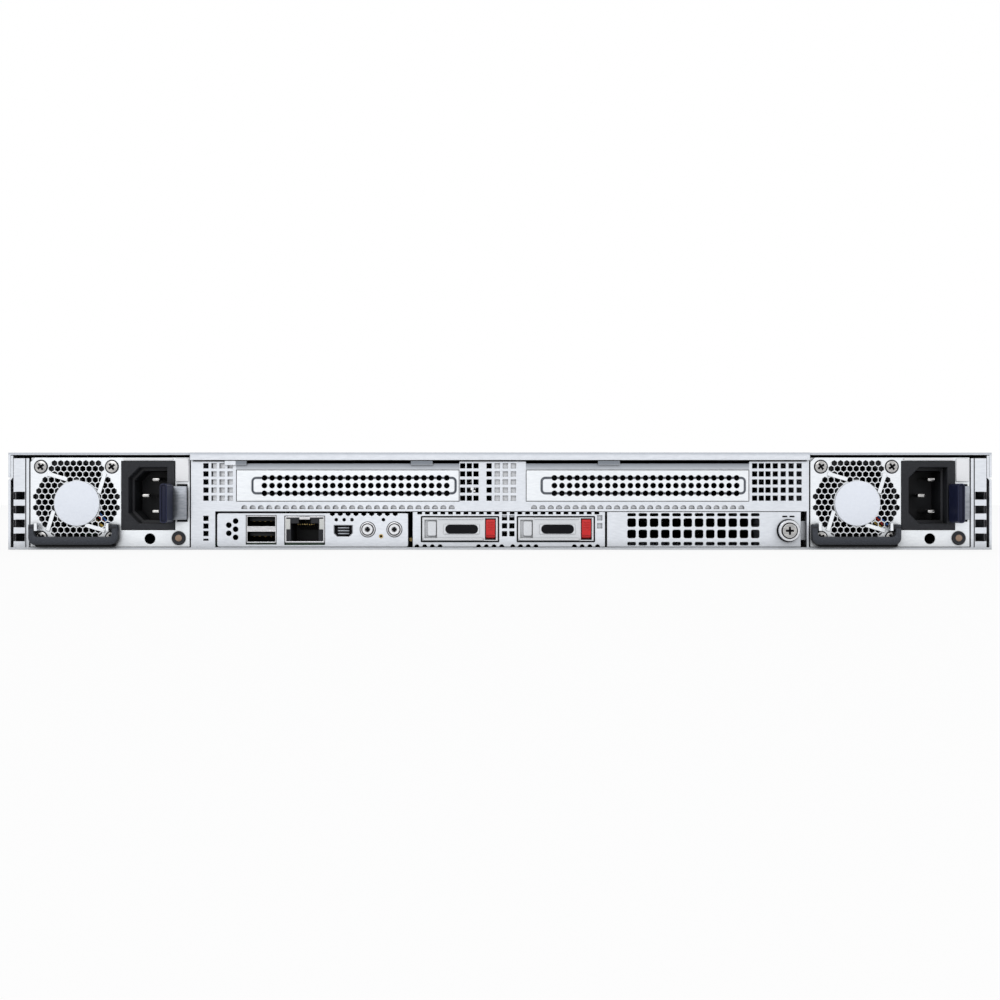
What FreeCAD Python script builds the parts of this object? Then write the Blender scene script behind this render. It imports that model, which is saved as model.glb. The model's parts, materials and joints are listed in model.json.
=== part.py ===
import FreeCAD, Part
import math
import os
import Sketcher

# A one-unit rack server. +X is to the right in the rear view, +Y runs from the rear
# face to the front, +Z is up. The origin is under the middle of the whole machine.

V = FreeCAD.Vector
doc = FreeCAD.newDocument("RackServer")
sheet = doc.addObject("Spreadsheet::Sheet", "Sizes")

driving = {
    # chassis
    "body_wide": 434.0,
    "body_high": 42.8,
    "body_deep": 760.0,
    "steel": 1.0,
    "slip": 0.1,
    "gap": 0.3,
    "skirt_high": 10.9,
    "joggle_rise": 1.2,
    "cover_deep": 598.0,
    "lip_high": 3.3,
    "lip_out": 1.6,
    "lip_gap": 0.9,
    "cover_latch_place": 513.0,
    # rear panel, heights above the floor of the chassis
    "panel_top": 38.9,
    "corner_top": 40.3,
    "shelf_top": 17.9,
    "shelf_deep": 60.0,
    "slot_low": 21.2,
    "slot_high": 14.1,
    "slot_wide": 98.6,
    "slot_one_left": -116.5,
    "slot_two_left": 11.4,
    "vent_hole": 2.3,
    "vent_pitch": 3.57,
    "vent_low": 22.7,
    "blank_hole": 2.5,
    "blank_row": 3.4,
    "arch_wide": 2.6,
    "arch_pitch": 3.66,
    # power supplies
    "psu_centre": 172.1,
    "psu_wide": 70.2,
    "psu_high": 39.3,
    "psu_deep": 185.0,
    "psu_steel": 0.8,
    "psu_side_gap": 0.6,
    "psu_fan": 36.8,
    "psu_fan_deep": 28.0,
    "psu_screw_pitch": 31.3,
    "psu_fan_left": 20.25,
    "hex_pitch": 2.77,
    "hex_row": 2.46,
    "hex_flats": 2.3,
    "hub_disc": 20.0,
    "spoke_wide": 1.7,
    "raised": 0.4,
    "latch_reach": 12.0,
    "tab_thick": 3.4,
    "tab_high": 16.8,
    "bail_thick": 2.4,
    "inlet_wide": 23.7,
    "inlet_high": 30.4,
    "inlet_deep": 26.0,
    "socket_wide": 16.8,
    "socket_high": 24.6,
    "socket_deep": 16.0,
    "pin_pitch": 14.2,
    # lower rear modules
    "io_left": -124.8,
    "io_wide": 84.2,
    "io_high": 14.7,
    "m2_left": -38.8,
    "m2_wide": 85.4,
    "m2_deep": 92.0,
    "m2_bay_wide": 33.9,
    "m2_bay_high": 10.9,
    "m2_pitch": 42.3,
    "blank_left": 47.0,
    "blank_wide": 86.0,
    "module_low": 1.3,
    "module_high": 15.3,
    "tooth_pitch": 3.4,
    "tooth_gap": 2.1,
    "port_hex": 2.2,
    "port_hex_pitch": 3.47,
    # mother board and what stands on it
    "board_thick": 1.6,
    "board_low": 5.0,
    "board_start": 118.0,
    "board_wide_start": 205.0,
    "board_end": 495.0,
    "memory_long": 133.35,
    "memory_high": 31.2,
    "memory_thick": 1.27,
    "memory_pitch": 8.0,
    "sink_wide": 78.0,
    "sink_deep": 108.0,
    "sink_high": 24.0,
    "cpu_centre": 110.0,
    "cpu_place": 386.0,
    # fans
    "fan_size": 40.0,
    "fan_deep": 56.0,
    "fan_bore": 37.6,
    "fan_place": 522.0,
    "fan_pitch": 104.0,
    # drives
    "drive_wide": 101.6,
    "drive_deep": 147.0,
    "drive_high": 26.1,
    "bay_pitch": 107.2,
    "carrier_high": 38.0,
    "carrier_face": 9.0,
    "backplane_place": 596.0,
    # rack flanges
    "rack_wide": 482.0,
    "rack_hole_inset": 8.45,
    "rack_hole_high": 31.75,
    "rack_hole_dia": 6.6,
    "flange_thick": 2.5,
    "front_reach": 28.0,
    "stud_dia": 6.0,
    "stud_reach": 4.0,
}


class Size:
    """A length, and the formula over the sheet's cells that gives it."""

    def __init__(self, number, text):
        self.number = number
        self.text = text

    def __add__(self, other):
        return join(self, "+", other)

    def __radd__(self, other):
        return join(other, "+", self)

    def __sub__(self, other):
        return join(self, "-", other)

    def __rsub__(self, other):
        return join(other, "-", self)

    def __mul__(self, other):
        return join(self, "*", other)

    def __rmul__(self, other):
        return join(other, "*", self)

    def __truediv__(self, other):
        return join(self, "/", other)

    def __neg__(self):
        return join(0.0, "-", self)


def number(size):
    return size.number if isinstance(size, Size) else float(size)


def formula(size):
    return size.text if isinstance(size, Size) else f"({float(size):.6f})"


def join(one, sign, two):
    a = number(one)
    b = number(two)
    worked = {"+": a + b, "-": a - b, "*": a * b, "/": a / b if b else 0.0}
    return Size(worked[sign], f"({formula(one)} {sign} {formula(two)})")


class Named:
    pass


s = Named()
for row, (word, amount) in enumerate(driving.items(), start=1):
    sheet.set(f"A{row}", word)
    sheet.set(f"B{row}", str(amount))
    sheet.setAlias(f"B{row}", word)
    setattr(s, word, Size(amount, f"Sizes.{word}"))
doc.recompute()

parts = {}


def part(node, made):
    made.Label = node
    parts[node] = made
    return made


def bind(made, name, size):
    made.setExpression(name, formula(size))


def box(name, x, y, z):
    made = doc.addObject("Part::Box", name)
    for side, span in (("Length", x), ("Width", y), ("Height", z)):
        bind(made, side, span[1] - span[0])
    for letter, span in zip("xyz", (x, y, z)):
        bind(made, "Placement.Base." + letter, span[0])
    return made


def middle(centre, width):
    return centre - width / 2, centre + width / 2


turns = {
    "x": FreeCAD.Rotation(V(0, 1, 0), 90),
    "y": FreeCAD.Rotation(V(1, 0, 0), -90),
    "z": FreeCAD.Rotation(),
}


def rod(name, along, radius, start, length):
    """A cylinder along one axis, from the point start."""
    made = doc.addObject("Part::Cylinder", name)
    made.Placement = FreeCAD.Placement(V(), turns[along])
    bind(made, "Radius", radius)
    bind(made, "Height", length)
    for letter, place in zip("xyz", start):
        bind(made, "Placement.Base." + letter, place)
    return made


def fuse(name, *shapes):
    made = doc.addObject("Part::MultiFuse", name)
    made.Shapes = list(shapes)
    return made


def group(name, *shapes):
    made = doc.addObject("Part::Compound", name)
    made.Links = list(shapes)
    return made


def cut(name, base, *tools):
    made = doc.addObject("Part::Cut", name)
    made.Base = base
    made.Tool = tools[0] if len(tools) == 1 else group(name + "_tools", *tools)
    return made


def moved(made, x, y, z):
    for letter, place in zip("xyz", (x, y, z)):
        bind(made, "Placement.Base." + letter, place)
    return made


def outline_sketch(body, role, points):
    """A closed polygon whose corners are bound to the sheet."""
    plane = [f for f in body.Origin.OriginFeatures if f.Role == role][0]
    drawn = body.newObject("Sketcher::SketchObject", "outline")
    drawn.AttachmentSupport = [(plane, "")]
    drawn.MapMode = "FlatFace"
    spots = [V(number(a), number(b), 0) for a, b in points]
    for k, spot in enumerate(spots):
        following = spots[(k + 1) % len(spots)]
        drawn.addGeometry(Part.LineSegment(spot, following), False)
    for k in range(len(spots)):
        drawn.addConstraint(Sketcher.Constraint("Coincident", k, 2, (k + 1) % len(spots), 1))
    for k, pair in enumerate(points):
        for kind, place in zip(("DistanceX", "DistanceY"), pair):
            rule = drawn.addConstraint(
                Sketcher.Constraint(kind, -1, 1, k, 1, number(place)))
            drawn.setExpression(f"Constraints[{rule}]", formula(place))
    return drawn


def padded(name, points, start, length):
    """A body of one profile in X and Z, carried along +Y from start."""
    body = doc.addObject("PartDesign::Body", name)
    drawn = outline_sketch(body, "XZ_Plane", points)
    pad = body.newObject("PartDesign::Pad", "run")
    pad.Profile = drawn
    pad.Reversed = True
    bind(pad, "Length", length)
    bind(body, "Placement.Base.y", start)
    return body


def turned(name, points, x, y, z):
    """A body turned about an axis along Y: points are radius and place along Y."""
    body = doc.addObject("PartDesign::Body", name)
    drawn = outline_sketch(body, "XY_Plane", points)
    whole = body.newObject("PartDesign::Revolution", "turn")
    whole.Profile = drawn
    whole.ReferenceAxis = (drawn, ["V_Axis"])
    whole.Angle = 360.0
    return moved(body, x, y, z)


def rectangle(x, z):
    corners = [(x[0], z[0]), (x[1], z[0]), (x[1], z[1]), (x[0], z[1])]
    return polygon(corners)


def polygon(corners):
    spots = [V(number(a), 0, number(b)) for a, b in corners]
    return Part.makePolygon(spots + spots[:1])


def square(x, z, side):
    return rectangle(middle(x, side), middle(z, side))


def circle(x, z, diameter):
    edge = Part.Circle(V(number(x), 0, number(z)), V(0, 1, 0), number(diameter) / 2)
    return Part.Wire(edge.toShape())


def hexagon(x, z, flats):
    """A six-sided hole that stands on a corner."""
    reach = number(flats) / math.sqrt(3)
    spots = []
    for turn in range(6):
        angle = math.radians(30 + 60 * turn)
        spots.append((number(x) + reach * math.cos(angle), number(z) + reach * math.sin(angle)))
    return polygon(spots)


def rounded(x, z, radius):
    """A rectangle with its corners rounded, as one wire of lines and arcs."""
    x0, x1, z0, z1 = (number(a) for a in (*x, *z))
    r = number(radius)
    spots = [(x1 - r, z0 + r), (x1 - r, z1 - r), (x0 + r, z1 - r), (x0 + r, z0 + r)]
    edges = []
    ends = []
    for quarter, (cx, cz) in enumerate(spots):
        three = []
        for step in (-90, -45, 0):
            angle = math.radians(90 * quarter + step)
            three.append(V(cx + r * math.cos(angle), 0, cz + r * math.sin(angle)))
        edges.append(Part.Arc(*three).toShape())
        ends.append((three[0], three[2]))
    for k in range(4):
        edges.append(Part.LineSegment(ends[k][1], ends[(k + 1) % 4][0]).toShape())
    return Part.Wire(Part.__sortEdges__(edges))


def punched(name, border, holes, start, thick, notches=()):
    """A flat sheet across the machine; holes lie inside its border, notches cross it."""
    face = doc.addObject("Part::Feature", name + "_face")
    face.Shape = Part.makeFace([border] + holes, "Part::FaceMakerBullseye")
    if notches:
        face.Shape = face.Shape.cut([Part.Face(wire) for wire in notches])
    made = doc.addObject("Part::Extrusion", name)
    made.Base = face
    made.DirMode = "Custom"
    made.Dir = V(0, 1, 0)
    made.Solid = True
    bind(made, "LengthFwd", thick)
    bind(made, "Placement.Base.y", start)
    return made


# Places that many pieces share
half = s.body_wide / 2
overall = s.body_deep + s.latch_reach + s.front_reach
rear = s.latch_reach - overall / 2
front = rear + s.body_deep
wall_out = half - s.steel - s.slip
wall_in = wall_out - s.steel
cover_under = s.body_high - s.steel
bay_half = s.psu_wide / 2 + s.psu_side_gap
bay_inner = s.psu_centre - bay_half
bay_outer = s.psu_centre + bay_half
divider_in = bay_inner - s.steel
divider_deep = s.psu_deep + 5


def at(near, far):
    """A stretch of Y given by two distances from the rear face."""
    return rear + near, rear + far


def chassis_base():
    low = s.body_high - s.skirt_high - s.joggle_rise
    outer = [(half, 0.0), (half, low), (wall_out, low + s.joggle_rise),
             (wall_out, cover_under - s.gap)]
    inner = [(wall_in, cover_under - s.gap), (wall_in, low + s.joggle_rise - s.slip),
             (half - s.steel, low - s.slip), (half - s.steel, s.steel)]
    right = outer + inner
    left = [(-x, z) for x, z in reversed(right)]
    tray = padded("tray", right + left, rear, s.body_deep)
    posts = []
    for x, deep in ((60.0, 128.0), (120.0, 190.0), (195.0, 215.0), (195.0, 345.0),
                    (195.0, 485.0), (8.0, 300.0), (65.0, 485.0)):
        for side in (-1, 1):
            posts.append(rod("post", "z", 3.0, (side * x, rear + deep, s.steel),
                             s.board_low - s.steel))
    studs = []
    for deep in (150.0, 660.0):
        for side in (-1, 1):
            start = half if side > 0 else -half - s.stud_reach
            studs.append(rod("stud", "x", s.stud_dia / 2, (start, rear + deep, 16.0),
                             s.stud_reach))
    part("chassis_base", fuse("base_whole", tray, *posts, *studs))


def vent_columns():
    """The left edge, the pitch and the number of columns of each square-holed vent."""
    return ((-129.8, s.vent_pitch, 4), (-16.5, 2.95, 3), (-4.8, s.vent_pitch, 4),
            (112.4, 2.95, 3), (121.5, 3.5, 4))


def rear_frame():
    panel_x = (-divider_in, divider_in)
    slots = [(left, left + s.slot_wide) for left in (s.slot_one_left, s.slot_two_left)]
    holes = [rectangle(span, (s.slot_low, s.slot_low + s.slot_high)) for span in slots]
    for left, pitch, count in vent_columns():
        for column in range(count):
            for line in range(5):
                holes.append(square(left + pitch * column, s.vent_low + s.vent_pitch * line,
                                    s.vent_hole))
    arches = [circle(span[0] + s.arch_pitch * (k + 1), s.shelf_top + s.raised, s.arch_wide)
              for span in slots for k in range(26)]
    gaps = [rectangle(span, (s.panel_top - s.lip_gap, s.panel_top + 1)) for span in slots]
    panel = punched("rear_panel", rectangle(panel_x, (s.shelf_top, s.panel_top)), holes,
                    rear, s.steel, arches + gaps)
    bracket_right = s.io_left - 0.9
    bracket_holes = [square(-129.8, z, 2.3) for z in (7.1, 10.4, 13.8)]
    bracket_holes.append(rectangle(middle(-129.8, 2.3), (3.9, 4.8)))
    bracket = punched("side_bracket",
                      rectangle((-divider_in, bracket_right), (s.steel, s.shelf_top)),
                      bracket_holes, rear, s.steel)
    shelf = box("shelf", (bracket_right, divider_in), at(0.0, s.shelf_deep),
                (s.shelf_top - s.steel, s.shelf_top))
    ledges = []
    for span in slots:
        ledges.append(box("ledge", span, at(s.steel, 12.0),
                          (s.slot_low + s.slot_high + 0.4, s.slot_low + s.slot_high + 1.4)))
    clips = [box("clip", middle(x, 9.6), at(-1.0, 0.0), (s.panel_top - 1.6, s.panel_top + 0.3))
             for x in (-116.5, -34.5, 48.0)]
    walls = []
    wall_z = (s.steel, s.corner_top)
    for side in (-1, 1):
        inner = sorted_pair([side * divider_in, side * bay_inner])
        outer = sorted_pair([side * bay_outer, side * (bay_outer + s.steel)])
        walls.append(box("divider", inner, at(0.0, divider_deep), wall_z))
        walls.append(box("bay_wall", outer, at(0.0, divider_deep), wall_z))
        plate = sorted_pair([side * (bay_outer + s.steel), side * (wall_in - 0.2)])
        centre = side * (bay_outer + s.steel + wall_in - 0.2) / 2
        corner_holes = [rectangle(middle(centre, 4.1), middle(5.4 + 6.13 * n, 3.5))
                        for n in range(4)]
        walls.append(punched("corner_plate", rectangle(plate, wall_z), corner_holes,
                             rear, s.steel))
    boss = box("screw_boss", (122.4, divider_in), at(3.0, 13.0), (4.2, 12.6))
    bored = cut("bored_boss", boss, rod("boss_bore", "y", 1.8, (127.2, rear, 8.4), 20.0))
    part("rear_frame",
         fuse("frame_whole", panel, bracket, shelf, bored, *ledges, *clips, *walls))


def sorted_pair(pair):
    return tuple(sorted(pair, key=number))


def slot_blanks():
    """Two perforated plates, each with a raised field whose long edges cross the holes."""
    plates = []
    for left in (s.slot_one_left, s.slot_two_left):
        x = (left + s.gap, left + s.slot_wide - s.gap)
        z = (s.slot_low + s.gap, s.slot_low + s.slot_high - s.gap)
        middle_z = s.slot_low + s.slot_high / 2
        rows = []
        for line in (-1, 0, 1):
            rows.append([circle(left + 12.6 + 3.35 * column, middle_z + s.blank_row * line,
                                s.blank_hole) for column in range(25)])
        plate = punched("blank_plate", rectangle(x, z), rows[0] + rows[1] + rows[2], rear,
                        s.psu_steel)
        field_x = (left + 7.0, left + s.slot_wide - 2.0)
        field = punched("blank_field", rounded(field_x, middle(middle_z, s.blank_row * 2), 1.6),
                        rows[1], rear - s.raised, s.raised, rows[0] + rows[2])
        foot = box("blank_foot", (x[0], x[0] + 5.0), at(0.0, 12.0), (z[0], z[0] + s.psu_steel))
        plates.append(fuse("blank", plate, field, foot))
    part("slot_blanks", group("both_blanks", *plates))


def riser_cages():
    """A folded frame over each pair of slots, with the upright slot board in it."""
    pieces = []
    for left in (s.slot_one_left, s.slot_two_left):
        right = left + s.slot_wide
        x = (left + 2.0, right - 2.0)
        top = (s.panel_top - 1.6, s.panel_top - 0.6)
        roof = box("cage_roof", x, at(12.5, divider_deep), top)
        floor = box("cage_floor", x, at(s.shelf_deep + 1, divider_deep),
                    (s.shelf_top - s.steel, s.shelf_top))
        side = box("cage_side", (x[1] - s.steel, x[1]), at(s.shelf_deep + 1, divider_deep),
                   (s.shelf_top, top[0]))
        far = box("cage_back", x, (rear + divider_deep - s.steel, rear + divider_deep),
                  (s.shelf_top, top[0]))
        pieces.append(fuse("cage", roof, floor, side, far))
        board_x = (x[1] - s.steel - 0.5 - s.board_thick, x[1] - s.steel - 0.5)
        board = box("riser_board", board_x, at(95.0, divider_deep - 3),
                    (s.shelf_top + s.gap, top[0] - s.gap))
        slot = box("riser_slot", (board_x[0] - 11.2, board_x[0]), at(100.0, 185.0),
                   middle(s.slot_low + s.slot_high / 2, 7.5))
        lane = box("riser_lane", (board_x[0] - 11.3, board_x[0] - 3.0), at(102.0, 183.0),
                   middle(s.slot_low + s.slot_high / 2, 1.8))
        pieces.append(board)
        pieces.append(cut("riser_socket", slot, lane))
    part("riser_cages", group("both_cages", *pieces))


def io_holes():
    """The port openings, the round vents and the small vents under the top edge."""
    ports = [rectangle((-112.2, -98.6), (2.2, 15.2)), rectangle((-95.2, -77.2), (2.0, 15.0)),
             polygon([(-73.4, 10.9), (-73.4, 7.2), (-71.9, 5.7), (-66.5, 5.7), (-65.0, 7.2),
                      (-65.0, 10.9)])]
    vents = [circle(x, z, 2.5) for x, z in ((-116.7, 12.6), (-119.7, 10.8), (-116.7, 9.0),
                                            (-119.7, 7.2), (-116.7, 5.4))]
    small = [hexagon(-74.0 + s.port_hex_pitch * (k + 0.5), 13.2, s.port_hex - 0.7)
             for k in (0, 1, 2, 6)]
    buttons = [circle(x, 8.9, 6.6) for x in (-58.4, -46.6)]
    return ports + vents + small + buttons + [circle(-52.5, 5.9, 1.9)]


def io_module():
    """The module with the ports and its two buttons, low on the left of the rear."""
    z = (s.module_low, s.module_low + s.io_high)
    x = (s.io_left, s.io_left + s.io_wide)
    half_hexes = [hexagon(-74.0 + s.port_hex_pitch * k, z[1], s.port_hex) for k in range(9)]
    face = punched("io_face", rounded(x, z, 1.0), io_holes(), rear, s.steel, half_hexes)
    sides = [box("io_side", span, at(s.steel, 20.0), z)
             for span in ((x[0], x[0] + s.psu_steel), (x[1] - s.psu_steel, x[1]))]
    part("io_faceplate", fuse("io_plate", face, *sides))
    board_top = s.module_low + s.gap + s.board_thick
    board = box("io_pcb", (x[0] + 1.2, x[1] - 1.2), at(1.4, 112.0),
                (s.module_low + s.gap, board_top))
    chip = box("io_chip", (-70.0, -54.0), at(40.0, 56.0), (board_top, board_top + 2.0))
    edge = box("io_edge", (-105.0, -60.0), at(102.0, 116.0), (board_top, board_top + 6.0))
    shell = box("screen_shell", (-73.1, -65.3), at(s.steel + s.slip, 20.0), (board_top, 11.4))
    mouth = box("screen_mouth", (-72.6, -65.8), at(0.0, 12.0), (6.2, 10.6))
    blade = box("screen_blade", (-71.6, -66.8), at(3.0, 12.0), (7.8, 8.6))
    port = fuse("screen_port", cut("screen_hollow", shell, mouth), blade)
    stands = [rod("stand", "y", 0.9, (place, rear + 2.0, 4.4), 6.0)
              for place in (-126.0, -39.55)]
    part("io_board", group("io_board_whole", board, chip, edge, port, *stands))
    usb(board_top)
    lan(board_top)
    for word, place in (("id", -58.4), ("reset", -46.6)):
        profile = [(0.0, -0.4), (1.25, -0.4), (1.25, -1.2), (2.3, -1.2), (2.3, 4.6), (3.1, 4.6),
                   (3.1, 5.6), (0.0, 5.6)]
        part(word + "_button", turned(word + "_turned", profile, place, rear, 8.9))


def usb(board_top):
    """Two stacked ports in one shell, each mouth with its tongue."""
    outer = box("usb_outer", (-111.95, -98.85), at(0.2, 18.0), (board_top, 15.0))
    mouths = []
    tongues = []
    for low, high in ((10.3, 14.5), (3.5, 7.9)):
        mouths.append(box("usb_mouth", (-111.5, -99.3), at(-1.0, 15.0), (low, high)))
        tongues.append(box("usb_tongue", (-110.9, -99.9), at(3.0, 15.0),
                           (high - 1.9, high - 0.4)))
    part("usb_connector", fuse("usb_stack", cut("usb_hollow", outer, *mouths), *tongues))


def lan(board_top):
    """A network jack: a stepped mouth with contacts hanging from its roof."""
    outer = box("lan_outer", (-95.0, -77.4), at(0.2, 21.0), (board_top, 14.8))
    mouth = box("lan_mouth", (-92.3, -80.1), at(-1.0, 15.0), (3.6, 11.6))
    notch = box("lan_notch", (-88.9, -83.5), at(-1.0, 15.0), (11.0, 13.6))
    hollow = cut("lan_hollow", outer, fuse("lan_space", mouth, notch))
    teeth = [box("lan_tooth", middle(-86.2 + 1.02 * k, 0.4), at(5.0, 15.0), (10.8, 11.6))
             for k in (-3.5, -2.5, 2.5, 3.5)]
    part("lan_connector", fuse("lan_jack", hollow, *teeth))


def m2_bays():
    """A housing with two bays, each with a sliding carrier and its red latch."""
    low = s.module_low
    x = (s.m2_left + s.gap, s.m2_left + s.m2_wide - s.gap)
    z = (low, low + s.module_high)
    bay_low = low + 2.3
    bays = []
    for k in range(2):
        left = s.m2_left + 4.2 + s.m2_pitch * k
        bays.append((left, left + s.m2_bay_wide))
    bay_z = (bay_low, bay_low + s.m2_bay_high)
    holes = [rectangle(span, bay_z) for span in bays]
    holes += [square(x_place, z_place, s.vent_hole)
              for x_place in (2.0, 5.25) for z_place in (7.0, 10.5, 14.0)]
    holes += [square(44.0, z_place, s.vent_hole) for z_place in (10.5, 14.0)]
    notches = [square(x[0] + s.tooth_pitch * (k + 0.9), z[1], s.tooth_gap) for k in range(24)]
    for span in bays:
        for k in (-1, 0, 1, 2, 7, 8, 9, 10):
            notches.append(circle(span[0] + s.tooth_pitch * (k + 0.4), low, s.tooth_gap))
    face = punched("m2_face", rectangle(x, z), holes, rear, s.steel, notches)
    body = box("m2_body", x, at(s.steel, s.m2_deep), (bay_low - s.steel, bay_z[1] + 0.8))
    spaces = [box("m2_space", span, at(0.0, s.m2_deep - 1.0), bay_z) for span in bays]
    core = box("m2_core", (bays[0][1] + 1, bays[1][0] - 1), at(0.0, s.m2_deep - 2),
               (bay_low, bay_z[1] - 0.2))
    part("m2_bay_housing", fuse("m2_housing", face, cut("m2_shell", body, *spaces, core)))
    for k, span in enumerate(bays, start=1):
        m2_carrier(k, span, bay_z)


def m2_carrier(k, span, bay_z):
    """A closed sled for one storage card; its latch turns down about a pin along X."""
    x = (span[0] + s.gap, span[1] - s.gap)
    z = (bay_z[0] + s.gap, bay_z[1] - s.gap)
    sled = box("sled", x, at(0.0, s.m2_deep - 4), z)
    hollow = box("sled_hollow", (x[0] + 1.2, x[1] - 9.0), at(6.0, s.m2_deep - 5),
                 (z[0] + 1.2, z[1] - 1.2))
    pocket = box("sled_pocket", (x[1] - 5.6, x[1] - 0.8), at(-1.0, 5.0),
                 (z[0] + 0.4, z[1] - 0.4))
    grip = box("sled_grip", (x[0] + 1.0, x[0] + 6.5), at(-1.0, 0.8), (z[0] + 1.0, z[1] - 1.0))
    pin_z = z[0] + 2.4
    bore = rod("latch_bore", "x", 0.85, (x[1] - 6.2, rear + 1.4, pin_z), 6.0)
    label = box("sled_label", (x[0] + 9.5, x[0] + 25.2), at(-0.3, 0.0),
                middle((z[0] + z[1]) / 2, 4.2))
    room = fuse("latch_room", pocket, bore)
    shell = fuse("sled_whole", cut("sled_shell", sled, hollow, room, grip), label)
    card = box("sled_card", (x[0] + 2.4, x[1] - 10.2), at(7.5, s.m2_deep - 5.2),
               (z[0] + 1.2, z[0] + 2.0))
    part(f"m2_carrier_{k}", group("sled_group", shell, card))
    blade = box("latch_blade", (x[1] - 5.3, x[1] - 1.1), at(-0.4, 1.6), (z[0] + 2.4, z[1] - 0.9))
    knuckle = rod("latch_knuckle", "x", 1.5, (x[1] - 5.3, rear + 1.4, pin_z), 4.2)
    pin = rod("latch_pin", "x", 0.8, (x[1] - 6.0, rear + 1.4, pin_z), 5.6)
    part(f"m2_latch_{k}", fuse("latch_whole", blade, knuckle, pin))


def adapter_blank():
    """A perforated blank with its thumbscrew, which threads into the frame's boss."""
    low = s.module_low
    x = (s.blank_left + s.gap, s.blank_left + s.blank_wide - s.gap)
    z = (low, low + s.module_high)
    holes = []
    for column in range(12):
        centre = s.blank_left + 11.1 + 4.96 * column
        for z_place, high, corner in ((2.6, 1.6, 0.6), (6.9, 3.8, 0.9), (11.9, 3.8, 0.9),
                                      (15.4, 1.4, 0.6)):
            holes.append(rounded(middle(centre, 3.8), middle(z_place, high), corner))
    holes.append(circle(127.2, 8.4, 4.2))
    holes += [rectangle(middle(x_place, 2.2), middle(14.6, 0.7)) for x_place in (125.7, 128.9)]
    face = punched("blank_face", rectangle(x, z), holes, rear, s.steel)
    sides = [box("blank_side", span, at(s.steel, 30.0), z)
             for span in ((x[0], x[0] + s.psu_steel), (x[1] - 14.0, x[1] - 14.0 + s.psu_steel))]
    part("adapter_blank", fuse("blank_whole", face, *sides))
    profile = [(0.0, -3.2), (4.4, -3.2), (4.9, -2.7), (4.9, -0.3), (1.7, -0.3), (1.7, 12.0),
               (0.0, 12.0)]
    screw = turned("screw_turned", profile, 127.2, rear, 8.4)
    cross = [box("cross", middle(127.2, a), at(-4.0, -2.2), middle(8.4, b))
             for a, b in ((4.2, 0.9), (0.9, 4.2))]
    part("adapter_thumbscrew", cut("screw_cross", screw, fuse("cross_both", *cross)))


def psu_honeycomb(fan_x, fan_z):
    """Hexagonal holes over the fan's circle and up between the two upper screw pads."""
    holes = []
    nearest = number(s.hub_disc) / 2 + 0.2
    farthest = number(s.psu_fan) / 2
    pad = number(s.psu_screw_pitch) / 2 - 4.0
    highest = number(s.psu_high) / 2 - 2.0
    for line in range(-8, 9):
        for column in range(-8, 9):
            across = (column + 0.5 * (line % 2)) * number(s.hex_pitch)
            up = line * number(s.hex_row)
            on_pad = abs(across) > pad and abs(up) > pad
            round_it = math.hypot(across, up)
            above = 0 < up < highest and abs(across) < pad
            if nearest < round_it and (round_it < farthest or above) and not on_pad:
                holes.append(hexagon(fan_x + across, fan_z + up, s.hex_flats))
    return holes


def psu_spokes(fan_x, fan_z):
    """Four raised ribs: each leaves the hub's disc as a tangent and ends at a corner."""
    ribs = []
    reach = number(s.psu_screw_pitch) / 2 - 3.0
    hub = number(s.hub_disc) / 2
    wide = number(s.spoke_wide) / 2
    for quarter in range(4):
        turn = math.radians(90 * quarter)
        ends = []
        for a, b in ((-reach, reach), (-0.4 * hub, hub)):
            ends.append(V(a * math.cos(turn) + b * math.sin(turn), 0,
                          b * math.cos(turn) - a * math.sin(turn)))
        along = (ends[1] - ends[0]).normalize()
        beside = V(-along.z, 0, along.x) * wide
        corners = [ends[0] + beside, ends[0] - beside, ends[1] - beside, ends[1] + beside]
        drawn = polygon([(fan_x + spot.x, fan_z + spot.z) for spot in corners])
        ribs.append(punched("hub_spoke", drawn, [], rear - s.raised, s.raised))
    return ribs


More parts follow.
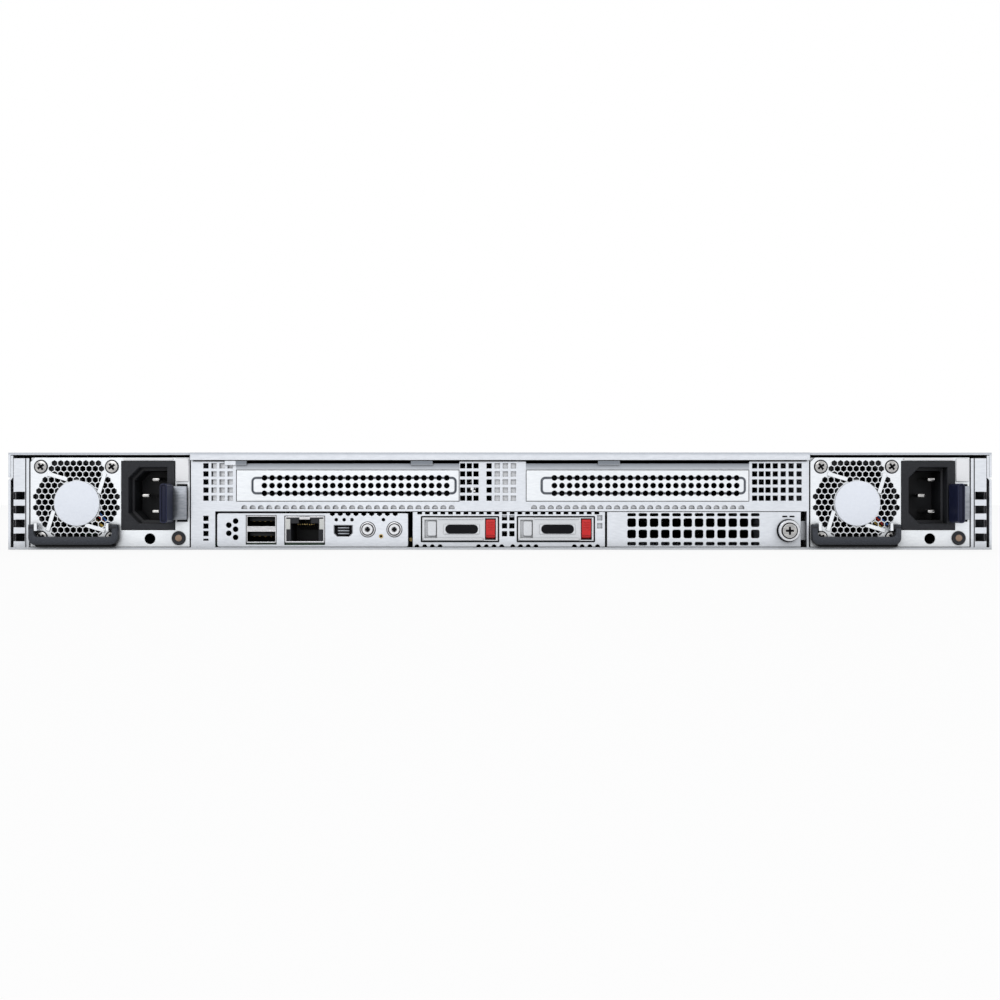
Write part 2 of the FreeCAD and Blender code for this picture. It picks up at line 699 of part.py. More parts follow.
def power_supply(k, centre):
    """One supply: it slides out of its bay towards the rear with all that it holds."""
    left = centre - s.psu_wide / 2
    right = centre + s.psu_wide / 2
    base = s.steel + s.gap
    top = base + s.psu_high
    fan_x = left + s.psu_fan_left
    fan_z = base + s.psu_high / 2
    screws = [(fan_x + a * s.psu_screw_pitch / 2, fan_z + b * s.psu_screw_pitch / 2)
              for a in (-1, 1) for b in (-1, 1)]
    inlet_left = left + 40.1
    inlet_low = base + 7.4
    holes = psu_honeycomb(fan_x, fan_z)
    holes += [circle(x, z, 3.3) for x, z in screws]
    holes.append(rectangle((inlet_left - 0.1, inlet_left + s.inlet_wide + 0.1),
                           (inlet_low - 0.1, inlet_low + s.inlet_high + 0.1)))
    holes.append(rectangle((right - 5.6, right - 0.9), (base + 11.0, base + 27.6)))
    holes.append(circle(left + 52.7, base + 3.5, 4.8))
    holes.append(circle(left + 65.4, base + 3.8, 6.1))
    chamfer = 2.0
    border = polygon([(left, base), (right, base), (right, top), (left + chamfer, top),
                      (left, top - chamfer)])
    face = punched("psu_face", border, holes, rear, s.steel)
    outer = box("psu_outer", (left, right), at(s.steel, s.psu_deep), (base, top))
    inner = box("psu_inner", (left + s.psu_steel, right - s.psu_steel),
                at(0.0, s.psu_deep - s.psu_steel), (base + s.psu_steel, top - s.psu_steel))
    mouth = box("psu_mouth", middle(centre, 44.0), at(s.psu_deep - 2, s.psu_deep + 1),
                (base + 2.0, base + 16.0))
    window = box("hook_window", (right - 1.0, right + 0.5), at(5.0, 14.0),
                 (base + 15.5, base + 22.5))
    space = fuse("psu_space", inner, mouth, window)
    disc = rod("hub_disc", "y", s.hub_disc / 2,
               (fan_x + 0.4, rear - s.raised - 0.2, fan_z - 0.5), s.raised + 0.2)
    spokes = psu_spokes(fan_x, fan_z)
    lugs = [box("bail_lug", (fan_x + a, fan_x + b), at(-3.4, 0.0), (base + 7.1, base + 10.4))
            for a, b in ((-17.4, -16.2), (14.0, 15.2))]
    posts = [rod("psu_post", "z", 2.0, (x, rear + deep, base + s.psu_steel), 2.9)
             for x in (left + 6.0, right - 6.0) for deep in (48.0, 170.0)]
    brackets = [box("latch_lug", (right - 3.6, right - s.psu_steel), at(31.0, 37.0), (z, z + 1.0))
                for z in (base + 9.6, base + 28.0)]
    pin_x = right - 2.2
    holder = fuse("psu_solid", face, cut("psu_shell", outer, space), disc, *spokes, *lugs,
                  *posts, *brackets)
    bail_z = base + 8.6
    bores = [rod("bail_bore", "x", 0.85, (fan_x - 18.0, rear - 2.0, bail_z), 34.0),
             rod("latch_bore", "z", 1.05, (pin_x, rear + 34.0, base + 9.0), 21.0)]
    part(f"psu_case_{k}", cut("psu_bored", holder, *bores))
    psu_screws(k, screws)
    psu_fan(k, fan_x, fan_z, screws)
    psu_inlet(k, inlet_left, inlet_low)
    psu_latch(k, right, base, pin_x)
    psu_handle(k, fan_x, base, bail_z)
    psu_board(k, left, right, base)


def psu_screws(k, screws):
    """Four pan-head screws that hold the fan's frame to the supply's face."""
    profile = [(0.0, -0.6), (2.3, -0.6), (2.7, -0.3), (2.7, 0.0), (1.5, 0.0), (1.5, 8.0),
               (0.0, 8.0)]
    made = [turned("screw", profile, x, rear, z) for x, z in screws]
    part(f"psu_screws_{k}", group("four_screws", *made))


def psu_fan(k, x, z, screws):
    """A square frame with a motor seat on four struts, and the wheel on its axle."""
    start = s.steel + 0.2
    deep = s.psu_fan_deep
    frame = box("psu_fan_outer", middle(x, s.psu_fan), at(start, start + deep),
                middle(z, s.psu_fan))
    bore = rod("psu_fan_bore", "y", s.psu_fan / 2 - 1.0, (x, rear, z), 40.0)
    holes = [rod("psu_fan_hole", "y", 1.6, (a, rear, b), 40.0) for a, b in screws]
    struts = [box("psu_strut", middle(x, a), at(start + deep - 2, start + deep), middle(z, b))
              for a, b in ((s.psu_fan - 1.0, 2.0), (2.0, s.psu_fan - 1.0))]
    seat = rod("psu_seat", "y", 8.0, (x, rear + start + deep - 3, z), 3.0)
    axle = rod("psu_axle", "y", 1.5, (x, rear + start + 4, z), deep - 6)
    part(f"psu_fan_frame_{k}", fuse("psu_fan_whole", cut("psu_fan_tube", frame, bore, *holes),
                                    *struts, seat, axle))
    wheel = fan_wheel("psu_wheel", x, z, rear + start + 3, deep - 7, 8.5, s.psu_fan / 2 - 1.8, 5)
    part(f"psu_fan_rotor_{k}", wheel)


def fan_wheel(name, x, z, start, deep, hub, tip, blades):
    """A hub with flat blades set at a slant, bored to run on an axle of 3 mm."""
    core = doc.addObject("Part::Feature", name + "_blades")
    long = number(deep)
    barrel = Part.makeCylinder(number(tip), long, V(0, -long / 2, 0), V(0, 1, 0))
    made = []
    for turn in range(blades):
        blade = Part.makeBox(1.2, long * 0.62, number(tip) - number(hub) + 1.6)
        blade.translate(V(-0.6, -long * 0.31, number(hub) - 0.6))
        blade.rotate(V(0, 0, 0), V(0, 0, 1), 32)
        blade = blade.common(barrel)
        blade.rotate(V(0, 0, 0), V(0, 1, 0), 360.0 / blades * turn)
        made.append(blade)
    core.Shape = Part.makeCompound(made)
    moved(core, x, start + deep / 2, z)
    barrel = rod(name + "_hub", "y", hub, (x, start, z), deep)
    bore = rod(name + "_bore", "y", 1.55, (x, start - 1, z), deep + 2)
    return cut(name, fuse(name + "_solid", barrel, core), bore)


def psu_inlet(k, left, low):
    """The mains inlet: a block with a keyed cavity and three blades."""
    x = (left, left + s.inlet_wide)
    block = box("inlet_block", x, at(-0.3, s.inlet_deep), (low, low + s.inlet_high))
    mouth_x = middle(left + 11.75, s.socket_wide)
    mouth_z = middle(low + s.inlet_high / 2, s.socket_high)
    shave = 4.6
    keyed = [(mouth_x[0] + shave, mouth_z[0]), (mouth_x[1], mouth_z[0]),
             (mouth_x[1], mouth_z[1]), (mouth_x[0] + shave, mouth_z[1]),
             (mouth_x[0], mouth_z[1] - shave), (mouth_x[0], mouth_z[0] + shave)]
    mouth = punched("inlet_mouth", polygon(keyed), [], rear - 1, s.socket_deep + 1)
    centre_z = low + s.inlet_high / 2
    blades = []
    for a, b in ((14.4, s.pin_pitch / 2), (9.9, 0.0), (14.4, -s.pin_pitch / 2)):
        blades.append(box("inlet_blade", middle(left + a, 4.0), at(2.6, s.socket_deep),
                          middle(centre_z + b, 2.0)))
    part(f"psu_inlet_{k}", group("inlet_whole", cut("inlet_body", block, mouth), *blades))


def psu_latch(k, right, base, pin_x):
    """A sprung arm inside the case with a finger tab outside; it turns about a pin."""
    arm_z = (base + 11.6, base + 26.6)
    arm = box("latch_arm", (right - 2.7, right - 1.7), at(-2.0, 34.0), arm_z)
    tab_left = right - 9.8
    bridge = box("latch_bridge", (tab_left, right - 1.7), at(-2.4, -1.6), arm_z)
    tab = box("latch_tab", (tab_left, tab_left + s.tab_thick),
              (rear - s.latch_reach, rear - 1.6), middle(base + 18.6, s.tab_high))
    round_tab = doc.addObject("Part::Fillet", "latch_round")
    tab.recompute()
    round_tab.Base = tab
    edges = []
    for n, edge in enumerate(tab.Shape.Edges, start=1):
        if abs(edge.tangentAt(0).x) > 0.9 and edge.BoundBox.YMax < number(rear) - 5:
            edges.append((n, 3.0, 3.0))
    round_tab.Edges = edges
    hook = box("latch_hook", (right - 1.8, right + 0.2), at(6.5, 12.0), (base + 16.0, base + 22.0))
    pin = rod("latch_pin", "z", 1.0, (pin_x, rear + 34.0, base + 9.7), 19.2)
    part(f"psu_latch_{k}", fuse("latch_whole", arm, bridge, round_tab, hook, pin))


def psu_handle(k, fan_x, base, bail_z):
    """A U-shaped bail that folds flat against the grille."""
    thick = s.bail_thick
    left = (fan_x - 20.15, fan_x - 20.15 + thick)
    right = (fan_x + 15.9, fan_x + 15.9 + thick)
    outer = rounded((left[0], right[1]), (base + 1.2, base + 14.0), 3.4)
    inner = rounded((left[1], right[0]), (base + 1.2 + thick, base + 15.0), 1.2)
    loop = punched("bail_loop", outer, [], rear - 3.2, thick)
    space = punched("bail_space", inner, [], rear - 4.2, thick + 2)
    above = box("bail_above", (left[0] - 1, right[1] + 1), at(-5.0, 0.0),
                (bail_z + 1.2, bail_z + 9.0))
    pins = [rod("bail_pin", "x", 0.8, (start, rear - 2.0, bail_z), 3.0)
            for start in (left[1] - 0.2, right[0] - 2.8)]
    bail = cut("bail_u", loop, fuse("bail_cut", space, above))
    part(f"psu_handle_{k}", fuse("bail_whole", bail, *pins))


def psu_board(k, left, right, base):
    """The supply's electronics, with an edge plug in front and a light pipe at the rear."""
    low = base + s.psu_steel + 2.9
    y = at(40.0, s.psu_deep - 1.5)
    top = low + s.board_thick
    board = box("psu_pcb", (left + 2.0, right - 2.0), y, (low, top))
    edge = box("psu_edge", middle((left + right) / 2, 40.0),
               at(s.psu_deep - 1.5, s.psu_deep + 9), (low, top))
    plate = fuse("psu_plate", board, edge)
    sinks = [box("psu_sink", (left + a, left + a + 3.0), at(70.0, 150.0), (top, base + 34.0))
             for a in (14.0, 50.0)]
    core = box("psu_core", (left + 22.0, left + 44.0), at(105.0, 135.0), (top, base + 30.0))
    can = rod("psu_can", "z", 9.0, (left + 34.0, rear + 90.0, top), 28.0)
    coil = box("psu_filter", (left + 42.0, left + 60.0), at(44.0, 62.0), (top, base + 24.0))
    pipe = rod("light_pipe", "y", 2.85, (left + 65.4, rear - 0.3, base + 3.8), 40.3)
    part(f"psu_board_{k}", group("psu_electronics", plate, *sinks, core, can, coil, pipe))


def motherboard():
    """A T-shaped board with its processor sockets, memory sockets and supply sockets."""
    low = s.board_low
    top = low + s.board_thick
    narrow = divider_in - 1.5
    wide = half - s.steel - 11.0
    plates = [box("board_tail", (-narrow, narrow), at(s.board_start, s.board_wide_start),
                  (low, top)),
              box("board_field", (-wide, wide), at(s.board_wide_start, s.board_end), (low, top))]
    made = [fuse("board_plate", *plates)]
    for x in memory_places():
        stick = box("memory_socket", middle(x, 6.4), middle(rear + s.cpu_place, 142.0),
                    (top, top + 5.0))
        lane = box("memory_lane", middle(x, s.memory_thick + 0.2),
                   middle(rear + s.cpu_place, s.memory_long + 0.4), (top + 0.8, top + 6.0))
        made.append(cut("memory_seat", stick, lane))
    for side in (-1, 1):
        x = side * s.cpu_centre
        made.append(box("cpu_socket", middle(x, 58.0), middle(rear + s.cpu_place, 76.0),
                        (top, top + 2.4)))
        made.append(box("processor", middle(x, 52.0), middle(rear + s.cpu_place, 70.0),
                        (top + 2.4, top + 4.6)))
        x = side * s.psu_centre
        low_z = s.steel + s.gap + s.psu_steel + 2.9
        block = box("supply_block", middle(x, 48.0), at(s.psu_deep + 6, s.board_wide_start),
                    (low_z - 2.4, low_z + 4.2))
        mouth = box("supply_mouth", middle(x, 41.0), at(s.psu_deep + 5, s.psu_deep + 12),
                    (low_z - 0.5, low_z + s.board_thick + 0.5))
        made.append(cut("supply_socket", block, mouth))
    made.append(box("chipset", middle(0.0, 34.0), at(230.0, 264.0), (top, top + 9.0)))
    part("motherboard", group("board_whole", *made))


def memory_places():
    """The middle of each of the 24 memory modules, in four banks of six."""
    places = []
    span = s.memory_pitch * 5
    beside = s.sink_wide / 2 + 6.0
    for side in (-1, 1):
        for bank in (s.cpu_centre - beside - span, s.cpu_centre + beside):
            for k in range(6):
                places.append(side * (bank + s.memory_pitch * k))
    return places


def compute():
    """Heat sinks, memory modules and the air shroud above them."""
    top = s.board_low + s.board_thick
    sinks = []
    for side in (-1, 1):
        x = side * s.cpu_centre
        low = top + 4.6
        block = box("sink_block", middle(x, s.sink_wide), middle(rear + s.cpu_place, s.sink_deep),
                    (low, low + s.sink_high))
        lanes = [box("sink_lane", middle(x + 3.2 * n, 2.4),
                     middle(rear + s.cpu_place, s.sink_deep + 2),
                     (low + 4.5, low + s.sink_high + 1)) for n in range(-11, 12)]
        sinks.append(cut("sink", block, *lanes))
    part("cpu_heat_sinks", group("both_sinks", *sinks))
    sticks = [box("stick", middle(x, s.memory_thick), middle(rear + s.cpu_place, s.memory_long),
                  (top + 1.0, top + 1.0 + s.memory_high)) for x in memory_places()]
    part("memory_modules", group("all_sticks", *sticks))
    roof_z = (cover_under - 2.6, cover_under - 1.1)
    y = middle(rear + s.cpu_place, s.memory_long + 14)
    wide = half - s.steel - 6.0
    roof = box("shroud_roof", (-wide, wide), y, roof_z)
    low_z = top + 0.4
    walls = []
    for side in (-1, 1):
        for edge in (wide - 1.5, s.cpu_centre + s.sink_wide / 2 + 1.2,
                     s.cpu_centre - s.sink_wide / 2 - 2.4):
            pair = sorted_pair([side * edge, side * (edge + 1.2)])
            walls.append(box("shroud_wall", pair, y, (low_z, roof_z[0])))
    part("air_shroud", fuse("shroud_whole", roof, *walls))


def fans():
    """Four system fans in line, each a frame with its own wheel."""
    low = s.steel + s.gap
    frames = []
    for k in range(4):
        x = s.fan_pitch * (k - 1.5)
        z = low + s.fan_size / 2
        y = at(s.fan_place, s.fan_place + s.fan_deep)
        outer = box("fan_outer", middle(x, s.fan_size), y, middle(z, s.fan_size))
        bore = rod("fan_bore", "y", s.fan_bore / 2, (x, y[0] - 1, z), s.fan_deep + 2)
        struts = [box("fan_strut", middle(x, a), (y[0], y[0] + 3), middle(z, b))
                  for a, b in ((s.fan_bore + 0.4, 2.4), (2.4, s.fan_bore + 0.4))]
        seat = rod("fan_seat", "y", 9.0, (x, y[0], z), 4.0)
        axle = rod("fan_axle", "y", 1.5, (x, y[0] + 2, z), 46.0)
        frames.append(fuse("fan_frame", cut("fan_tube", outer, bore), *struts, seat, axle))
        wheel = fan_wheel(f"wheel_{k}", x, z, y[0] + 5.0, s.fan_deep - 9, 9.5,
                          s.fan_bore / 2 - 0.9, 7)
        part(f"fan_rotor_{k + 1}", wheel)
    part("fan_frames", group("four_frames", *frames))


def drives():
    """The front cage, its back plane, and four carriers with drives and levers."""
    top = (cover_under, s.body_high)
    y = at(s.cover_deep + 1.0, s.body_deep)
    roof = box("cage_top", (-half, half), y, top)
    skirts = [box("cage_skirt", span, y, (s.body_high - s.skirt_high, cover_under))
              for span in ((-half, -half + s.steel), (half - s.steel, half))]
    walls = [box("bay_divider", middle(s.bay_pitch * n, s.steel),
                 at(s.cover_deep + 8, s.body_deep - 2.0), (s.steel, cover_under))
             for n in (-1, 0, 1)]
    part("drive_cage", fuse("cage_whole", roof, *skirts, *walls))
    back = s.backplane_place
    bays = [s.bay_pitch * n for n in (-1.5, -0.5, 0.5, 1.5)]
    plane = box("back_pcb", (-wall_in + 1.5, wall_in - 1.5), at(back, back + s.board_thick),
                (s.steel, 39.0))
    vents = [box("back_vent", middle(x, 60.0), at(back - 1, back + 3), (26.0, 37.0))
             for x in bays]
    plugs = [box("back_plug", middle(x + 20.0, 46.0), at(back + s.board_thick, back + 7.0),
                 (4.0, 10.0)) for x in bays]
    part("drive_backplane", fuse("back_whole", cut("back_plate", plane, *vents), *plugs))
    for k in range(4):
        drive_carrier(k + 1, s.bay_pitch * (k - 1.5))


def drive_carrier(k, x):
    """A tray with two rails and a perforated face; the lever turns about its left end."""
    low = s.steel + s.gap
    face_y = (front - 6.0, front - 6.0 + s.carrier_face)
    rail_y = (front - 6.0 - s.drive_deep - 4.0, front - 6.0)
    clear = s.bay_pitch / 2 - 1.1
    top = low + s.carrier_high
    beside = s.drive_wide / 2 + s.slip
    rails = [box("rail", span, rail_y, (low, low + 16.0))
             for span in ((x - clear, x - beside), (x + beside, x + clear))]
    web = box("web", (x - clear, x + clear), (front - 18.0, front - 6.0), (low, low + 1.6))
    holes = []
    for column in range(-7, 8):
        for line in (0, 1):
            holes.append(hexagon(x + 6.4 * column + 3.2 * line, low + 28.6 + 5.5 * line, 5.0))
    plate = punched("bezel", rectangle((x - clear, x + clear), (low, top)), holes, face_y[0],
                    s.carrier_face - 6.0)
    ears = [box("lever_ear", (x - clear, x - clear + 6.0), (face_y[0] + 2.0, face_y[1]),
                (z, z + 1.5)) for z in (low + 9.0, low + 22.5)]
    pin_y = face_y[1] - 3.0
    bore = rod("lever_bore", "z", 1.25, (x - clear + 3.0, pin_y, low + 8.0), 18.0)
    frame = fuse("carrier_solid", plate, *rails, web, *ears)
    part(f"drive_carrier_{k}", cut("carrier_whole", frame, bore))
    lever = box("lever_bar", (x - clear + 3.0, x + clear - 3.0), (pin_y - 2.0, pin_y + 2.0),
                (low + 11.0, low + 22.0))
    eye = rod("lever_eye", "z", 2.0, (x - clear + 3.0, pin_y, low + 11.0), 11.0)
    pin = rod("lever_pin", "z", 1.2, (x - clear + 3.0, pin_y, low + 9.2), 14.6)
    part(f"drive_lever_{k}", fuse("lever_whole", lever, eye, pin))
    deep = (front - 10.0 - s.drive_deep, front - 10.0)
    body = box("drive_body", middle(x, s.drive_wide), deep, (low + 2.0, low + 2.0 + s.drive_high))
    lid = box("drive_lid", middle(x, s.drive_wide - 8.0), (deep[0] + 8, deep[1] - 8),
              (low + 2.0 + s.drive_high, low + 2.6 + s.drive_high))
    part(f"hard_drive_{k}", fuse("drive_whole", body, lid))


def top_cover():
    """A flat lid with its skirts, rolled lip and latch housing welded on; it slides rearwards."""
    top = (cover_under, s.body_high)
    y = at(0.0, s.cover_deep)
    plate = box("lid", (-half, half), y, top)
    skirts = [box("lid_skirt", span, y, (s.body_high - s.skirt_high, cover_under))
              for span in ((-half, -half + s.steel), (half - s.steel, half))]
    lip_x = (-divider_in - 1.0, divider_in + 1.0)
    roll = box("lid_roll", lip_x, (rear - s.lip_out, rear), top)
    drop = box("lid_drop", lip_x, (rear - s.lip_out, rear - s.lip_out + s.steel),
               (s.body_high - s.lip_high, cover_under))
    place = s.cover_latch_place
    tub_x = middle(0.0, 46.0)
    tub_y = at(place - 37.0, place + 5.0)
    hole = box("latch_hole", tub_x, tub_y, (cover_under - 1, s.body_high + 1))
    lid = cut("lid_open", plate, hole)
    floor_z = s.body_high - 5.2
    tub = box("latch_tub", tub_x, tub_y, (floor_z - s.steel, s.body_high))
    room = box("tub_space", (tub_x[0] + s.steel, tub_x[1] - s.steel),
               (tub_y[0] + s.steel, tub_y[1] - s.steel), (floor_z, s.body_high + 1))
    lugs = [box("latch_lug", span, at(place - 3.0, place + 3.0), (floor_z, s.body_high - 0.4))
            for span in ((-22.0, -19.6), (19.6, 22.0))]
    pin_z = s.body_high - 2.4
    bore = rod("latch_bore", "x", 1.25, (-24.0, rear + place, pin_z), 48.0)
    housing = cut("tub_bored", fuse("tub_lugs", cut("tub_open", tub, room), *lugs), bore)
    part("top_cover", group("lid_whole", lid, *skirts, fuse("lid_lip", roll, drop), housing))
    blade = box("cover_blade", middle(0.0, 38.0), at(place - 34.0, place),
                (s.body_high - 3.9, s.body_high - 0.9))
    eye = rod("cover_eye", "x", 1.9, (-19.0, rear + place, pin_z), 38.0)
    pin = rod("cover_pin", "x", 1.2, (-21.5, rear + place, pin_z), 43.0)
    part("cover_latch", fuse("cover_latch_whole", blade, eye, pin))


def ears():
    """Rack flanges with their bolt holes and pods; one pod holds the power button."""
    made = []
    button_x = -half - 5.45
    for side in (-1, 1):
        flange_x = sorted_pair([side * half, side * s.rack_wide / 2])
        holes = [circle(side * (s.rack_wide / 2 - s.rack_hole_inset),
                        s.body_high / 2 + up * s.rack_hole_high / 2, s.rack_hole_dia)
                 for up in (-1, 1)]
        plate = punched("flange", rectangle(flange_x, (0.3, s.body_high - 0.3)), holes,
                        front - s.flange_thick, s.flange_thick)
        leg_x = sorted_pair([side * half, side * (half + 1.5)])
        leg = box("flange_leg", leg_x, (front - 40.0, front - s.flange_thick),
                  (1.0, s.body_high - 1.0))
        made.append(fuse("ear", plate, leg))
        pod_x = sorted_pair([side * (half + 0.3), side * (half + 10.6)])
        pod = box("pod", pod_x, (front, front + s.front_reach), (0.8, s.body_high - 0.8))
        if side < 0:
            well = rod("button_well", "y", 3.6, (button_x, front + 12.0, s.body_high / 2), 20.0)
            pod = cut("pod_well", pod, well)
        made.append(pod)
    part("rack_ears", group("both_ears", *made))
    profile = [(0.0, s.front_reach - 9.0), (3.3, s.front_reach - 9.0), (3.3, s.front_reach - 0.6),
               (2.7, s.front_reach - 0.2), (0.0, s.front_reach - 0.2)]
    part("power_button", turned("power_turned", profile, button_x, front, s.body_high / 2))


chassis_base()
rear_frame()
slot_blanks()
riser_cages()
io_module()
m2_bays()
adapter_blank()
power_supply(1, -s.psu_centre)
power_supply(2, s.psu_centre)
motherboard()
compute()
fans()
drives()
top_cover()
ears()
doc.recompute()

for made in doc.Objects:
    if "Invalid" in made.State or "Error" in made.State:
        raise RuntimeError(f"{made.Name} ({made.Label}) is {made.State}")
for node, made in parts.items():
    if made.Shape.isNull() or not made.Shape.isValid():
        raise RuntimeError(f"{node} has no valid shape")

os.makedirs("parts", exist_ok=True)
for node, made in parts.items():
    made.Shape.exportStep(f"parts/{node}.step")
print(len(parts), "parts written")
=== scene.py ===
import json
import math

import bmesh
import bpy
import numpy as np
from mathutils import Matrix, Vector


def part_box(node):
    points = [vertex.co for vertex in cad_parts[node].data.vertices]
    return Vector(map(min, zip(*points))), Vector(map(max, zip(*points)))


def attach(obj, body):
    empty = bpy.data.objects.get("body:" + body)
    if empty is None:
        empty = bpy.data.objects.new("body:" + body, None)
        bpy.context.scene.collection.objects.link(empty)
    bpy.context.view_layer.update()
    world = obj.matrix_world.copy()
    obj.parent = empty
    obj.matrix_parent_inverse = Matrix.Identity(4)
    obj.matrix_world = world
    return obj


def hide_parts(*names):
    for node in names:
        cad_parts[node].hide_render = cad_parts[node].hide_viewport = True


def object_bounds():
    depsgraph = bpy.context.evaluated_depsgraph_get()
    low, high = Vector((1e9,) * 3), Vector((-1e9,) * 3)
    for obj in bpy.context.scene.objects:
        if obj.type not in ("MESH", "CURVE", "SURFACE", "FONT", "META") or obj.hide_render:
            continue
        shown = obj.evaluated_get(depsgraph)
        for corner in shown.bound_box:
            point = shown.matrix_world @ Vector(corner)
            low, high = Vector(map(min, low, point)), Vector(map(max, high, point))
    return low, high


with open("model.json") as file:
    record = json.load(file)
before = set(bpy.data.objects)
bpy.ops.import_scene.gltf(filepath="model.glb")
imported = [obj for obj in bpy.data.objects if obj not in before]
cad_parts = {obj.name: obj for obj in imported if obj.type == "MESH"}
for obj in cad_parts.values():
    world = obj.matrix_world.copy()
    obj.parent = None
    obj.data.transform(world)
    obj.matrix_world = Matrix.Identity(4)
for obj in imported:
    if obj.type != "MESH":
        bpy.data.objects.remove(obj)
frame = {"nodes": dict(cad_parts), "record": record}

cadLow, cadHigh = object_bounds()
scene = bpy.context.scene
mm = 0.001
record = frame["record"]
bodyOf = {node: body for body, nodes in record["behaviour"]["bodies"].items() for node in nodes}
slotOf = {entry["node"]: entry["material_slot"] for entry in record["subparts"]}


# Places in millimetres, taken from the frame. The rear sheets face -Y at y = rear.
def nodeBox(node):
    low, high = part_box(node)
    return np.array(low) / mm, np.array(high) / mm


def middleOf(node):
    low, high = nodeBox(node)
    return (low + high) / 2


def around(middle, half):
    return middle - half, middle + half


rear = nodeBox("chassis_base")[0][1]
print("frame loaded")


# node helpers
def feed(socket, value):
    if isinstance(value, bpy.types.NodeSocket):
        socket.id_data.links.new(value, socket)
    else:
        socket.default_value = (*value, 1) if socket.type == "RGBA" else value


# Feeds sockets in order from a list, or by name from a dictionary.
def fill(sockets, values):
    for key, value in (values.items() if isinstance(values, dict) else enumerate(values)):
        feed(sockets[key], value)


def addNode(tree, kind, values=(), **settings):
    made = tree.nodes.new("ShaderNode" + kind)
    for name, value in settings.items():
        setattr(made, name, value)
    fill(made.inputs, values)
    return made


def figure(operation, *values):
    tree = next(value.id_data for value in values if isinstance(value, bpy.types.NodeSocket))
    return addNode(tree, "Math", values, operation=operation).outputs[0]


def product(first, *values):
    for value in values:
        first = figure("MULTIPLY", first, value)
    return first


def over(value, limit):
    return figure("GREATER_THAN", value, limit)


def under(value, limit):
    return figure("LESS_THAN", value, limit)


def without(value):
    return figure("SUBTRACT", 1.0, value)


# The distance to the nearest of evenly spaced places, up to half their spacing.
def folded(value, shift, half):
    return figure("PINGPONG", figure("ADD", value, shift), half)


def length(a, b):
    return figure("SQRT", figure("ADD", product(a, a), product(b, b)))


def rampTo(*values):
    return addNode(values[0].id_data, "MapRange", values).outputs[0]


def blendColour(factor, first, second):
    values = {0: factor, 6: first, 7: second}
    return addNode(factor.id_data, "Mix", values, data_type="RGBA").outputs[2]


def objectPlace(tree):
    return addNode(tree, "TexCoord").outputs["Object"]


def trueNormal(tree):
    return addNode(tree, "NewGeometry").outputs["Normal"]


def noiseOver(place, **values):
    return addNode(place.id_data, "TexNoise", dict(values, Vector=place)).outputs[0]


# A group whose inputs are numbers. A Normal among its outputs is a vector.
def newGroup(name, inputs, outputs):
    tree = bpy.data.node_groups.new(name, "ShaderNodeTree")
    for word, value in inputs.items():
        made = tree.interface.new_socket(name=word, in_out="INPUT", socket_type="NodeSocketFloat")
        made.default_value = value
    for word in outputs:
        kind = "NodeSocketVector" if word == "Normal" else "NodeSocketFloat"
        tree.interface.new_socket(name=word, in_out="OUTPUT", socket_type=kind)
    return tree, tree.nodes.new("NodeGroupInput").outputs, tree.nodes.new("NodeGroupOutput").inputs


def useGroup(tree, group, values):
    return addNode(tree, "Group", values, node_tree=group).outputs


def outlineAt(*values):
    return useGroup(values[0].id_data, outlineGroup, values)


# Grain: 0.65 of a fine noise, drawn out along X by Stretch, plus 0.35 of a broad one.
def makeGrainGroup():
    tree, inside, outside = newGroup(
        "fine grain", {"Scale": 900.0, "Stretch": 1.0, "Patch": 30.0}, ["Shade", "Height", "Cloud"])
    place = objectPlace(tree)
    squeeze = addNode(tree, "CombineXYZ", [inside["Stretch"], 1.0, 1.0]).outputs[0]
    drawn = addNode(tree, "VectorMath", [place, squeeze], operation="MULTIPLY").outputs[0]
    fine = noiseOver(drawn, Scale=inside["Scale"], Detail=4.0)
    broad = noiseOver(place, Scale=inside["Patch"], Detail=3.0)
    shade = figure("ADD", product(fine, 0.65), product(broad, 0.35))
    fill(outside, [shade, fine, broad])
    return tree


# Edge wear: how far a rounded normal leans off the true one, times Gain and a noise.
def makeEdgeGroup():
    tree, inside, outside = newGroup("edge wear", {"Width": 0.0003, "Gain": 4.0}, ["Edge", "Normal"])
    rounded = addNode(tree, "Bevel", {"Radius": inside["Width"]}, samples=4).outputs[0]
    lean = addNode(tree, "VectorMath", [rounded, trueNormal(tree)],
                   operation="DOT_PRODUCT").outputs["Value"]
    noise = noiseOver(objectPlace(tree), Scale=700.0)
    broken = product(without(lean), inside["Gain"], rampTo(noise, 0.35, 0.65, 0.4, 1.0))
    fill(outside, [addNode(tree, "Clamp", [broken]).outputs[0], rounded])
    return tree


# Dust: how far a face looks up, times where a slow noise is high, times Amount.
def makeDustGroup():
    tree, inside, outside = newGroup("dust", {"Amount": 0.2}, ["Dust"])
    lift = addNode(tree, "SeparateXYZ", [trueNormal(tree)]).outputs[2]
    noise = noiseOver(objectPlace(tree), Scale=45.0, Detail=6.0)
    patch = rampTo(noise, 0.4, 0.7, 0.0, 1.0)
    laid = product(rampTo(lift, 0.3, 1.0, 0.0, 1.0), patch, inside["Amount"])
    fill(outside, [laid])
    return tree


